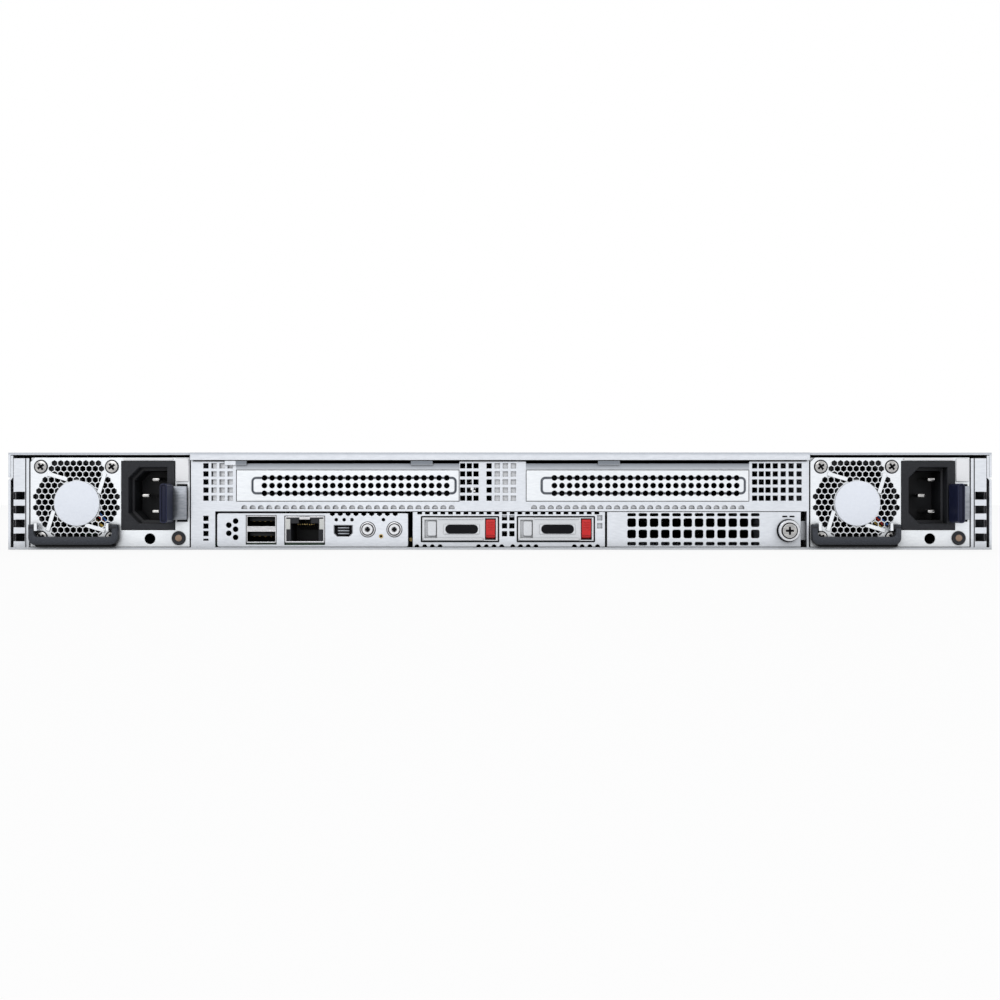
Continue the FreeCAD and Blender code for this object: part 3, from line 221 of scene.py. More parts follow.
# A line along a rounded rectangle: the distance to its outline, cut off at the line's width.
def makeOutlineGroup():
    names = ("Across", "Up", "MiddleAcross", "MiddleUp", "HalfAcross", "HalfUp", "Corner", "Line")
    tree, inside, outside = newGroup("outline", dict.fromkeys(names, 0.0), ["Mask", "Inside"])
    pulled = []
    for way in ("Across", "Up"):
        off = figure("SUBTRACT", inside[way], inside["Middle" + way])
        reach = figure("SUBTRACT", inside["Half" + way], inside["Corner"])
        pulled.append(figure("SUBTRACT", figure("ABSOLUTE", off), reach))
    far = length(*[figure("MAXIMUM", value, 0.0) for value in pulled])
    near = figure("MINIMUM", figure("MAXIMUM", *pulled), 0.0)
    distance = figure("SUBTRACT", figure("ADD", far, near), inside["Corner"])
    share = figure("DIVIDE", distance, inside["Line"])
    mask = rampTo(figure("ABSOLUTE", share), 0.5, 1.0, 1.0, 0.0)
    fill(outside, [mask, rampTo(share, -1.0, 0.0, 1.0, 0.0)])
    return tree


grainGroup = makeGrainGroup()
edgeGroup = makeEdgeGroup()
dustGroup = makeDustGroup()
outlineGroup = makeOutlineGroup()
print("node groups built")


# materials
# What a finish has where nothing else is said
plainLook = {"stretch": 1.0, "patch": 30.0, "edgeWidth": 0.0003, "edgeGain": 3.0, "edgeShare": 0.5,
             "dust": 0.1, "dustColour": (0.62, 0.61, 0.59), "hollow": 0.010, "metal": 0.0,
             "gloss": 0.5, "relief": 0.2, "depth": 0.00005}
finishes = {}


def newMaterial(name):
    material = bpy.data.materials.new(name)
    material.use_nodes = True
    tree = material.node_tree
    return material, tree, tree.nodes["Principled BSDF"]


# One finish: grain blends the dark colour into the light one, wear blends in the edge colour,
# dust its own, and closed-in places get painted shade, a darker tone of the dark colour. The grain's
# height is the relief.
def finish(name, base, shape=None, slot=None, **changes):
    look = {**plainLook, **base, **changes}
    material, tree, shader = newMaterial(name)
    grain = useGroup(tree, grainGroup, [look["grain"], look["stretch"], look["patch"]])
    shade = rampTo(grain["Shade"], 0.3, 0.7, 0.0, 1.0)
    colour = blendColour(shade, look["dark"], look["light"])
    height = grain["Height"]
    if shape:
        place = addNode(tree, "SeparateXYZ", [objectPlace(tree)]).outputs
        colour, height = shape(place, colour, height)
    edge = useGroup(tree, edgeGroup, [look["edgeWidth"], look["edgeGain"]])
    worn = product(edge["Edge"], look["edgeShare"])
    colour = blendColour(worn, colour, look["edge"])
    dust = useGroup(tree, dustGroup, [look["dust"]])["Dust"]
    colour = blendColour(dust, colour, look["dustColour"])
    # Painted shade: where the occlusion test finds surfaces close by, the colour turns to a darker
    # tone of the dark colour.
    hollow = addNode(tree, "AmbientOcclusion", {"Distance": look["hollow"]}, samples=6)
    openness = rampTo(hollow.outputs["AO"], 0.15, 0.80, 0.0, 1.0)
    paintedShade = tuple(0.16 * part for part in look["dark"])
    rough = rampTo(grain["Cloud"], 0.3, 0.7, look["rough"] - 0.05, look["rough"] + 0.05)
    bump = addNode(tree, "Bump", {"Strength": look["relief"], "Distance": look["depth"],
                                  "Height": height, "Normal": edge["Normal"]})
    fill(shader.inputs, {
        "Base Color": blendColour(openness, paintedShade, colour),
        "Roughness": figure("ADD", rough, dust), "Metallic": look["metal"],
        "Specular IOR Level": look["gloss"], "Normal": bump.outputs[0]})
    finishes[name] = material
    return material


# 1 on the rear sheets' outer faces, 0 elsewhere.
def onRear(place):
    return figure("COMPARE", place[1], rear * mm, 0.05 * mm)


# The slot blanks' pressed fields: painted shade of the pressed step, dark within a line's width of
# either field's outline.
blankLow, blankHigh = nodeBox("slot_blanks")
blankLook = {"middles": ((blankLow[0] + 51.8) * mm, (blankHigh[0] - 46.5) * mm),
             "up": (blankLow[2] + blankHigh[2]) / 2 * mm, "halfAcross": 44.8 * mm,
             "halfUp": 3.4 * mm, "corner": 1.6 * mm, "line": 0.7 * mm,
             "colour": (0.05, 0.06, 0.08)}


def blankShape(place, colour, height):
    line = 0.0
    rest = [blankLook[word] for word in ("up", "halfAcross", "halfUp", "corner", "line")]
    for middle in blankLook["middles"]:
        made = outlineAt(place[0], place[2], middle, *rest)
        line = figure("MAXIMUM", made["Mask"], line)
    return blendColour(line, colour, blankLook["colour"]), height


# The lid: relief is low grain, less 1 inside each pressed field. Painted shade: the rolled rear
# edge darkens with height, and the flat top is dimmed by a fixed share.
coverLook = {"fields": ((0.0, -0.19, 0.175, 0.13), (0.0, 0.025, 0.175, 0.05)), "corner": 0.018,
             "line": 0.004, "grain": 0.06, "rollFrom": 0.0414, "rollShade": (0.42, 0.45, 0.50),
             "topFrom": 0.0417, "topShade": (0.34, 0.36, 0.39), "topShadeShare": 0.45}


def coverShape(place, colour, height):
    height = product(height, coverLook["grain"])
    for field in coverLook["fields"]:
        made = outlineAt(place[0], place[1], *field, coverLook["corner"], coverLook["line"])
        height = figure("SUBTRACT", height, made["Inside"])
    rolled = rampTo(place[2], coverLook["rollFrom"], cadHigh[2], 0.0, 1.0)
    behind = under(place[1], (rear + 0.5) * mm)
    dim = product(over(place[2], coverLook["topFrom"]), without(behind), coverLook["topShadeShare"])
    colour = blendColour(dim, colour, coverLook["topShade"])
    return blendColour(product(rolled, behind), colour, coverLook["rollShade"]), height


# Painted shade on the two corner strips: the holes have dark borders out to the rim, for the shade
# of wider holes, and a dark seam beside them for the shade in the gap: found from the distances
# to the object's middle and to the nearest hole's height.
cornerLook = {"near": 210.0 * mm, "first": 5.4 * mm, "pitch": 6.13 * mm, "halfHigh": 1.68 * mm,
              "top": 26.5 * mm, "seam": 209.3 * mm, "halfSeam": 0.25 * mm,
              "colour": (0.010, 0.010, 0.012)}


def cornerShade(place, colour):
    out = figure("ABSOLUTE", place[0])
    stacked = folded(place[2], -cornerLook["first"], cornerLook["pitch"] / 2)
    borderShade = product(under(stacked, cornerLook["halfHigh"]), under(place[2], cornerLook["top"]),
                     over(out, cornerLook["near"]))
    seam = figure("COMPARE", out, cornerLook["seam"], cornerLook["halfSeam"])
    mask = product(figure("MAXIMUM", borderShade, seam), onRear(place))
    return blendColour(mask, colour, cornerLook["colour"])


# The lip's shade: within the slots' spans, a share that grows from the slot's top upward.
ledgeLook = {"low": 35.45 * mm, "high": 38.1 * mm, "least": 0.45, "colour": (0.20, 0.22, 0.25),
             "spans": ((-0.1165, -0.0179), (0.0114, 0.1100))}


def ledgeShape(place, colour, height):
    fade = rampTo(place[2], ledgeLook["low"], ledgeLook["high"], ledgeLook["least"], 1.0)
    inSpan = 0.0
    for low, high in ledgeLook["spans"]:
        here = product(over(place[0], low), under(place[0], high))
        inSpan = figure("MAXIMUM", here, inSpan)
    share = product(fade, over(place[2], ledgeLook["low"]), inSpan)
    colour = blendColour(share, colour, ledgeLook["colour"])
    return cornerShade(place, colour), height


# The grille's painted shade: dark cells that stand for the shade in its holes, from the hub out to
# the border, part cells included: a cell holds the places whose distance across its flats is below
# half its width, in the nearer of two grids that lie half a step apart.
grille = {"pitch": 2.77, "row": 2.46, "flats": 2.58, "soft": 0.08, "reach": 18.0,
          "hubRight": 0.4, "hubLower": 0.5, "hubClear": 10.35, "pad": 11.3, "high": 17.8,
          "colour": (0.008, 0.008, 0.010)}


def grilleShape(fan):
    def shape(place, colour, height):
        across = figure("MULTIPLY_ADD", place[0], 1 / mm, -fan[0])
        up = figure("MULTIPLY_ADD", place[2], 1 / mm, -fan[2])
        nearest = 9.0
        for shift in (0.0, 1.0):
            a = folded(across, shift * grille["pitch"] / 2, grille["pitch"] / 2)
            b = folded(up, shift * grille["row"], grille["row"])
            slanted = figure("MULTIPLY_ADD", b, math.sqrt(0.75), product(a, 0.5))
            nearest = figure("MINIMUM", figure("MAXIMUM", a, slanted), nearest)
        half = grille["flats"] / 2
        cellShade = rampTo(nearest, half - grille["soft"], half, 1.0, 0.0)
        byPad = over(figure("ABSOLUTE", across), grille["pad"])
        pastPad = over(figure("ABSOLUTE", up), grille["pad"])
        ring = under(length(across, up), grille["reach"])
        between = product(under(up, grille["high"]), over(up, 0.0), without(byPad))
        hub = length(figure("SUBTRACT", across, grille["hubRight"]),
                     figure("ADD", up, grille["hubLower"]))
        mask = product(figure("MAXIMUM", ring, between), without(product(byPad, pastPad)),
                       over(hub, grille["hubClear"]), cellShade, onRear(place))
        return blendColour(mask, colour, grille["colour"]), height
    return shape


# A circuit board: lacquer, half blended with the tracks' colour near square cells' middles,
# and dark parts above the board's face.
boardLook = {"cells": 260.0, "track": (0.10, 0.26, 0.12), "parts": (0.03, 0.03, 0.033),
             "mainTop": 6.65 * mm, "supplyTop": 7.0 * mm, "bareTop": 1.0}


def boardShape(topFace):
    def shape(place, colour, height):
        tree = colour.id_data
        cells = addNode(tree, "TexVoronoi", {"Vector": objectPlace(tree), "Scale": boardLook["cells"]},
                        distance="CHEBYCHEV")
        track = rampTo(cells.outputs["Distance"], 0.28, 0.33, 1.0, 0.0)
        tracked = blendColour(product(track, 0.5), colour, boardLook["track"])
        above = over(place[2], topFace)
        return blendColour(above, tracked, boardLook["parts"]), height
    return shape


# Memory cards: black chips where the distance along Y to the nearest gap is over its half
# width and Z lies between the chips' edges.
memoryLook = {"pitch": 13.0 * mm, "gap": 1.6 * mm, "low": 16.5 * mm, "high": 30.0 * mm,
              "chip": (0.02, 0.02, 0.022)}


def memoryShape(place, colour, height):
    along = folded(place[1], 1.0, memoryLook["pitch"] / 2)
    mask = product(over(along, memoryLook["gap"]), over(place[2], memoryLook["low"]),
                   under(place[2], memoryLook["high"]))
    return blendColour(mask, colour, memoryLook["chip"]), height


zincLook = {"dark": (0.66, 0.69, 0.74), "light": (0.78, 0.81, 0.86), "edge": (0.93, 0.95, 0.98),
            "grain": 1400.0, "stretch": 0.25, "patch": 22.0, "rough": 0.42, "metal": 0.75,
            "relief": 0.12, "edgeShare": 0.6, "dust": 0.08}
supplyLook = dict(zincLook, dark=(0.79, 0.82, 0.86), light=(0.90, 0.93, 0.96), rough=0.36)
bareLook = dict(zincLook, metal=1.0)
greenLook = {"dark": (0.015, 0.10, 0.045), "light": (0.03, 0.17, 0.07),
             "edge": (0.25, 0.30, 0.16), "grain": 500.0, "rough": 0.38, "relief": 0.15}
plasticLook = {"dark": (0.013, 0.014, 0.017), "light": (0.032, 0.034, 0.040),
               "edge": (0.08, 0.08, 0.09), "grain": 2600.0, "rough": 0.46, "relief": 0.5,
               "edgeShare": 0.4, "dust": 0.05, "gloss": 0.2}

# The finish of each material slot, under the slot's name
finish("zinc_sheet", zincLook)
finish("supply_sheet", supplyLook)
finish("bright_steel", bareLook, dark=(0.62, 0.63, 0.66), light=(0.82, 0.83, 0.86), rough=0.24)
finish("port_metal", bareLook, dark=(0.58, 0.58, 0.60), light=(0.74, 0.74, 0.77), rough=0.28)
finish("cast_aluminium", zincLook, dark=(0.52, 0.53, 0.55), light=(0.66, 0.67, 0.70), grain=900.0,
       stretch=1.0, rough=0.5, relief=0.4)
finish("black_plastic", plasticLook)
finish("slate_plastic", plasticLook, dark=(0.030, 0.034, 0.042), light=(0.058, 0.064, 0.078),
       edge=(0.14, 0.15, 0.18), grain=1800.0, rough=0.5)
finish("grey_plastic", plasticLook, dark=(0.66, 0.68, 0.71), light=(0.78, 0.80, 0.83),
       edge=(0.92, 0.93, 0.95), rough=0.42, relief=0.2)
finish("red_plastic", plasticLook, dark=(0.52, 0.018, 0.02), light=(0.68, 0.035, 0.035),
       edge=(0.85, 0.22, 0.20), rough=0.34, relief=0.15)
finish("white_plastic", plasticLook, dark=(0.80, 0.81, 0.84), light=(0.90, 0.91, 0.93),
       edge=(0.97, 0.97, 0.98), rough=0.35, relief=0.1)
finish("board_green", greenLook, boardShape(boardLook["bareTop"]))

# The finishes of small pieces, each listed with a slot, which finish() does not use
finish("navy plastic", plasticLook, slot="slate_plastic", dark=(0.007, 0.009, 0.028),
       light=(0.016, 0.020, 0.052), edge=(0.10, 0.11, 0.20), rough=0.38, relief=0.25)
finish("spring steel", zincLook, slot="bright_steel", dark=(0.20, 0.215, 0.24),
       light=(0.38, 0.40, 0.44), rough=0.34, metal=0.9)
finish("screw steel", bareLook, slot="bright_steel", dark=(0.30, 0.30, 0.31),
       light=(0.60, 0.59, 0.57), rough=0.2, hollow=0.003)
finish("gold plate", bareLook, slot="port_metal", dark=(0.72, 0.50, 0.18),
       light=(0.90, 0.68, 0.30), edge=(1.0, 0.85, 0.5), rough=0.25)
finish("brass", bareLook, slot="port_metal", dark=(0.55, 0.40, 0.16), light=(0.74, 0.56, 0.26),
       edge=(0.9, 0.75, 0.45), rough=0.3)
finish("hub label", plasticLook, slot="white_plastic", dark=(0.785, 0.825, 0.905),
       light=(0.825, 0.865, 0.940), edge=(0.86, 0.88, 0.93), grain=700.0, rough=0.55, relief=0.08)
finish("vent backing", zincLook, slot="supply_sheet", dark=(0.82, 0.84, 0.88),
       light=(0.92, 0.94, 0.97), metal=0.3, hollow=0.001)
# Flat near black: dark labels, and painted shade in recesses and gaps.
finish("dark label and painted shade", plasticLook, slot="black_plastic", dark=(0.006, 0.006, 0.008),
       light=(0.012, 0.012, 0.014), rough=0.6, gloss=0.05, relief=0.05)
finish("amber lens", plasticLook, slot="grey_plastic", dark=(0.26, 0.17, 0.12),
       light=(0.42, 0.30, 0.22), edge=(0.6, 0.5, 0.42), rough=0.12, relief=0.05)
finish("window lens", plasticLook, slot="white_plastic", dark=(0.55, 0.56, 0.55),
       light=(0.72, 0.73, 0.71), edge=(0.85, 0.85, 0.84), rough=0.15, relief=0.05)
wireColours = {"red": (0.62, 0.05, 0.04), "blue": (0.05, 0.17, 0.55), "yellow": (0.85, 0.60, 0.12)}
for word, colour in wireColours.items():
    finish(word + " wire", plasticLook, slot="supply_sheet", light=colour, edge=colour,
           dark=tuple(0.8 * part for part in colour), rough=0.4, relief=0.1, hollow=0.001)

for node, obj in frame["nodes"].items():
    obj.data.materials.clear()
    obj.data.materials.append(finishes[slotOf[node]])


def repaint(node, base, shape=None, **changes):
    made = finish(node + " finish", base, shape, slotOf[node], **changes)
    frame["nodes"][node].data.materials[0] = made


repaint("rear_frame", zincLook, ledgeShape)
repaint("slot_blanks", supplyLook, blankShape)
repaint("top_cover", zincLook, coverShape, depth=0.0004, relief=0.6, rough=0.56, metal=0.55,
        dust=0.04)
repaint("motherboard", greenLook, boardShape(boardLook["mainTop"]))
repaint("memory_modules", greenLook, memoryShape)
repaint("drive_cage", zincLook, dark=(0.50, 0.52, 0.57), light=(0.59, 0.62, 0.66), rough=0.56,
        metal=0.55)
# The riser cages: a much darker copy of the zinc, painted shade for their place inside the chassis,
# with a longer reach for the painted shade of closed-in places.
repaint("riser_cages", zincLook, dark=(0.14, 0.15, 0.17), light=(0.21, 0.22, 0.25), hollow=0.04)
for k in (1, 2):
    repaint(f"psu_board_{k}", greenLook, boardShape(boardLook["supplyTop"]))
    repaint(f"psu_case_{k}", supplyLook, grilleShape(middleOf(f"psu_fan_frame_{k}")))
print("materials built")


# shapes
# A surface through closed rings of equal count. A hollow one joins its last ring to its
# first; another has both filled flat.
def loft(rings, hollow=False):
    rows, columns, _ = rings.shape
    row = np.arange(rows - 1)[:, None] * columns
    column = np.arange(columns)[None, :]
    after = (column + 1) % columns
    quads = [row + column, row + after, row + columns + after, row + columns + column]
    faces = np.stack(quads, axis=-1).reshape(-1, 4).tolist()
    last = (rows - 1) * columns
    if hollow:
        faces += [[k, n, last + n, last + k] for k, n in zip(range(columns), after[0].tolist())]
    else:
        faces += [list(range(columns)), list(range(last, rows * columns))]
    return rings.reshape(-1, 3), faces


# The turns of points round four quarter circles, and each one's corner.
def quarters(steps):
    quarter = np.linspace(0.0, math.pi / 2, steps + 1)
    turn = np.concatenate([quarter + k * math.pi / 2 for k in range(4)])
    return turn, np.repeat([[1, 1], [-1, 1], [-1, -1], [1, -1]], steps + 1, axis=0)


# A box with round edges: a ball of that radius, pulled apart to the box's eight corners.
def roundedBox(x, y, z, radius, steps=3):
    spans = np.array([x, y, z], float)
    inner = (spans[:, 1] - spans[:, 0]) / 2 - radius
    turn, side = quarters(steps)
    rise = np.concatenate([-turn[steps::-1], turn[:steps + 1]])
    riseSide = np.repeat([-1.0, 1.0], steps + 1)
    flat = radius * np.cos(rise)[:, None]
    a = side[:, 0] * inner[0] + flat * np.cos(turn)
    b = side[:, 1] * inner[1] + flat * np.sin(turn)
    c = (riseSide * inner[2] + radius * np.sin(rise))[:, None] + 0 * a
    return loft(np.stack([a, b, c], axis=-1) + spans.mean(axis=1))


# The same box. Depths are measured from the rear sheets.
def boxAt(x, depths, z, radius, steps=3):
    return roundedBox(x, (rear + depths[0], rear + depths[1]), z, radius, steps)


# The outline of a rounded rectangle in X and Z, moved inward by the inset.
def roundedLoop(x, z, radius, steps=5, inset=0.0):
    turn, side = quarters(steps)
    radius = max(radius - inset, 0.05)
    half = np.array([x[1] - x[0], z[1] - z[0]]) / 2 - inset - radius
    middle = np.array([x[0] + x[1], z[0] + z[1]]) / 2
    return middle + side * half + radius * np.column_stack([np.cos(turn), np.sin(turn)])


def atDepth(loop, depth):
    return np.column_stack([loop[:, 0], np.full(len(loop), rear + depth), loop[:, 1]])


# A flat plate facing the rear, its outline rounded and both its rims bevelled.
def plate(x, z, depths, radius, bevel):
    full = roundedLoop(x, z, radius)
    small = roundedLoop(x, z, radius, inset=bevel)
    return loft(np.stack([atDepth(small, depths[0]), atDepth(full, depths[0] + bevel),
                          atDepth(full, depths[1] - bevel), atDepth(small, depths[1])]))


# A frame facing the rear: a rounded rectangle with a rounded window through it.
def ring(x, z, depths, radius, wall, bevel):
    outer = roundedLoop(x, z, radius)
    inner = roundedLoop(x, z, radius, inset=wall)
    mid = outer + (inner - outer) * bevel / wall
    back = inner + (outer - inner) * bevel / wall
    front, rim, end = depths[0], depths[0] + bevel, depths[1]
    section = [(outer, end), (outer, rim), (mid, front), (back, front), (inner, rim), (inner, end)]
    return loft(np.stack([atDepth(loop, depth) for loop, depth in section]), True)


# A profile of (radius, height) carried round an axis; height runs outward. A knurl ripples
# the rows that it marks, and a dent pushes points in by their place.
def turned(profile, centre, outward=(0, -1, 0), count=48, dent=None, knurl=None):
    profile = np.array(profile, float)
    outward = np.array(outward, float)
    side = np.eye(3)[2 if abs(outward[2]) < 0.5 else 0]
    across = np.cross(side, outward)
    turn = np.linspace(0.0, 2 * math.pi, count, endpoint=False)
    radius = profile[:, :1] * np.ones(count)
    if knurl:
        teeth, deep, rows = knurl
        radius[rows] *= 1 - deep * (0.5 + 0.5 * np.cos(teeth * turn))
    a = radius * np.cos(turn)
    b = radius * np.sin(turn)
    height = profile[:, 1:] * np.ones(count)
    if dent:
        height = height - dent(a, b)
    rings = centre + a[..., None] * across + b[..., None] * side + height[..., None] * outward
    return loft(rings, min(profile[0, 0], profile[-1, 0]) > 0)


# A flat-ended tube round an axis, or a rod where its inner radius is 0.
def tube(inner, outer, first, last, *place):
    return turned([(inner, first), (outer, first), (outer, last), (inner, last)], *place)


# A profile (across, aside) carried along a path whose bends lie square to the side vector.
def swept(path, profile, side):
    side = np.array(side, float)
    along = np.gradient(path, axis=0)
    along /= np.linalg.norm(along, axis=1)[:, None]
    across = np.cross(along, side)
    across /= np.linalg.norm(across, axis=1)[:, None]
    return loft(path[:, None] + profile[None, :, :1] * across[:, None] + profile[None, :, 1:] * side)


# The place where evenly turned rays from the middle meet a polygon's edges.
def rayOutline(corners, turn):
    ray = np.column_stack([np.cos(turn), np.sin(turn)])
    start = np.array(corners, float)
    edge = np.roll(start, -1, axis=0) - start
    with np.errstate(divide="ignore", invalid="ignore"):
        across = ray[:, None, 0] * edge[None, :, 1] - ray[:, None, 1] * edge[None, :, 0]
        reach = (start[:, 0] * edge[:, 1] - start[:, 1] * edge[:, 0])[None] / across
        share = (start[None, :, 0] * ray[:, None, 1] - start[None, :, 1] * ray[:, None, 0]) / across
    met = (reach > 0) & (share > -1e-6) & (share < 1 + 1e-6)
    return ray * np.where(met, reach, np.inf).min(axis=1)[:, None]


def addObject(name, data):
    made = bpy.data.objects.new(name, data)
    scene.collection.objects.link(made)
    return made


# One piece from its shells, in the finish of that name, riding with its node's body.
def makePiece(name, shells, look, node, replaced=False, sharp=38.0):
    points = np.concatenate([shell[0] for shell in shells]) * mm
    faces, start = [], 0
    for made, quads in shells:
        faces += [[index + start for index in quad] for quad in quads]
        start += len(made)
    mesh = bpy.data.meshes.new(name)
    mesh.from_pydata(points.tolist(), [], faces)
    work = bmesh.new()
    work.from_mesh(mesh)
    bmesh.ops.remove_doubles(work, verts=work.verts, dist=1e-7)
    bmesh.ops.recalc_face_normals(work, faces=work.faces)
    work.to_mesh(mesh)
    work.free()
    mesh.shade_smooth()
    mesh.set_sharp_from_angle(angle=math.radians(sharp))
    mesh.materials.append(finishes[look])
    obj = addObject(name, mesh)
    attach(obj, bodyOf[node])
    if replaced:
        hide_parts(node)


# screw heads
cross = {"arm": 0.15, "long": 0.60, "floor": 0.58, "soft": 0.05, "deep": 0.85,
         "slant": math.radians(35)}


# A pan head: a low dome with a slanting cross recess whose arms end square.
def screwHead(centre, radius, height, outward=(0, -1, 0), shank=0.0):
    def dent(a, b):
        p = np.abs(a * math.cos(cross["slant"]) + b * math.sin(cross["slant"]))
        q = np.abs(b * math.cos(cross["slant"]) - a * math.sin(cross["slant"]))
        soft = radius * cross["soft"]
        mask = (np.clip((radius * cross["arm"] - np.minimum(p, q)) / soft + 1, 0, 1)
                * np.clip((radius * cross["long"] - np.maximum(p, q)) / soft + 1, 0, 1))
        return mask * height * cross["deep"]

    share = np.linspace(0.0, 1.0, 26)
    dome = [(radius * t, height * math.sqrt(1 - 0.72 * t * t)) for t in share]
    profile = dome + [(radius, 0.0), (radius * 0.5, 0.0), (radius * 0.5, -shank), (0.0, -shank)]
    return turned(profile, centre, outward, 96, dent)


# Painted shade on the floor of a head's recess: a thin dark cross at the same slant.
def recessShade(centre, radius, lift):
    arm, long = radius * cross["arm"], radius * cross["floor"]
    bars = []
    for angle in (cross["slant"], cross["slant"] + math.pi / 2):
        slab, quads = roundedBox((-long, long), (-lift, 0.1 - lift), (-arm, arm), 0.04, 1)
        x = slab[:, 0] * math.cos(angle) - slab[:, 2] * math.sin(angle)
        z = slab[:, 0] * math.sin(angle) + slab[:, 2] * math.cos(angle)
        bars.append((np.column_stack([x, slab[:, 1], z]) + centre, quads))
    return bars


# power supplies
supply = {"screwRadius": 2.55, "screwHeight": 0.6, "screwEdge": 2.7, "washer": 3.1,
          "hubRadius": 9.95, "hubRight": 0.4, "hubLower": 0.5, "wireRadius": 0.55,
          "wireLifts": {"red": 0.0, "blue": 1.5, "yellow": -1.7}, "legWide": 2.5, "barHigh": 3.6,
          "barLow": 2.1, "outerCorner": 3.2, "innerCorner": 1.6, "bailRound": 0.5,
          "stripLow": 1.35, "inletAcross": 11.75, "inletShave": 4.6, "inletWide": 16.8,
          "inletHigh": 24.6, "blades": ((14.4, 7.1), (9.9, 0.0), (14.4, -7.1)), "lensRadius": 1.5}


def supplyPiece(k, word, shells, look, node, *more):
    makePiece(f"supply_{k}_{word}", shells, look, f"psu_{node}_{k}", *more)


def supplyScrews(k, fan):
    low, high = nodeBox(f"psu_screws_{k}")
    pitch = (high[0] - low[0]) / 2 - supply["screwEdge"]
    radius, height = supply["screwRadius"], supply["screwHeight"]
    heads, rims, recessShades = [], [], []
    for a in (-1, 1):
        for b in (-1, 1):
            place = (fan[0] + a * pitch, rear, fan[2] + b * pitch)
            recessShades += recessShade(place, radius, height * 0.35)
            heads.append(screwHead(place, radius, height, shank=7.0))
            rims.append(tube(radius + 0.02, supply["washer"], 0.02, 0.10, place))
    supplyPiece(k, "screws", heads, "screw steel", "screws", True)
    # The recess shade is painted shade: dark bars on the floor of each recess.
    supplyPiece(k, "screw_recess_shade", recessShades, "dark label and painted shade", "screws")
    supplyPiece(k, "screw_rims", rims, "black_plastic", "case")


# The hub's disc and three short wavy wires behind the grille.
def supplyHub(k, fan):
    hub = supply["hubRadius"]
    disc = turned([(0.0, 0.72), (hub - 0.25, 0.72), (hub, 0.66), (hub, 0.55), (0.0, 0.55)],
                  (fan[0] + supply["hubRight"], rear, fan[2] - supply["hubLower"]), count=96)
    supplyPiece(k, "hub_label", [disc], "hub label", "case")
    step = np.linspace(0.0, 1.0, 24)
    circle = np.linspace(0.0, 2 * math.pi, 12, endpoint=False)
    section = supply["wireRadius"] * np.column_stack([np.cos(circle), np.sin(circle)])
    for n, (word, lift) in enumerate(supply["wireLifts"].items()):
        x = fan[0] + 6.6 + 9.0 * step + 0.5 * lift
        z = fan[2] - 5.0 - 7.0 * step + 0.7 * lift + 0.5 * np.sin(5 * step + n)
        y = rear + 2.3 + 0.5 * np.sin(3 * step + 2 * n)
        wire = swept(np.column_stack([x, y, z]), section, (0, 1, 0))
        supplyPiece(k, "wire_" + word, [wire], word + " wire", "case")


def supplyInlet(k):
    low, high = nodeBox(f"psu_inlet_{k}")
    middle = np.array([low[0] + supply["inletAcross"], (low[2] + high[2]) / 2])
    wide, tall, shave = supply["inletWide"] / 2, supply["inletHigh"] / 2, supply["inletShave"]
    keyed = [(-wide + shave, -tall), (wide, -tall), (wide, tall), (-wide + shave, tall),
             (-wide, tall - shave), (-wide, -tall + shave)]
    face = np.array([(low[0], low[2]), (high[0], low[2]), (high[0], high[2]), (low[0], high[2])])
    face -= middle
    turn = np.concatenate([np.linspace(-math.pi, math.pi, 96, endpoint=False),
                           [math.atan2(b, a) for a, b in [*keyed, *face]]])
    turn = np.unique(np.round(turn, 9))
    block = rayOutline(face, turn)
    mouth = rayOutline(keyed, turn)
    facing = low[1] - rear
    steps = [(block, high[1] - rear), (block, facing + 0.5), (block * 0.98, facing),
             (mouth * 1.03, facing), (mouth, facing + 0.5), (mouth * 0.99, facing + 5.0),
             (mouth * 0.89, facing + 5.4), (mouth * 0.87, facing + 16.0)]
    rings = np.stack([atDepth(outline + middle, depth) for outline, depth in steps])
    supplyPiece(k, "inlet", [loft(rings)], "black_plastic", "inlet", True, 25.0)
    blades = [boxAt(around(low[0] + a, 1.9), (2.4, 17.0), around(middle[1] + b, 0.95), 0.9, 5)
              for a, b in supply["blades"]]
    supplyPiece(k, "blades", blades, "screw steel", "inlet")


# Half of a bail's outline: down one leg, round the corner and along the bar to its middle.
def bailEdge(x, corner, bar, top, middle):
    arc = np.linspace(0.0, math.pi / 2, 9)
    side = math.copysign(corner, middle - x)
    points = [(x, top), (x, (top + bar) / 2)]
    points += [(x + side - side * math.cos(t), bar + corner - corner * math.sin(t)) for t in arc]
    return points + [(middle, bar)]


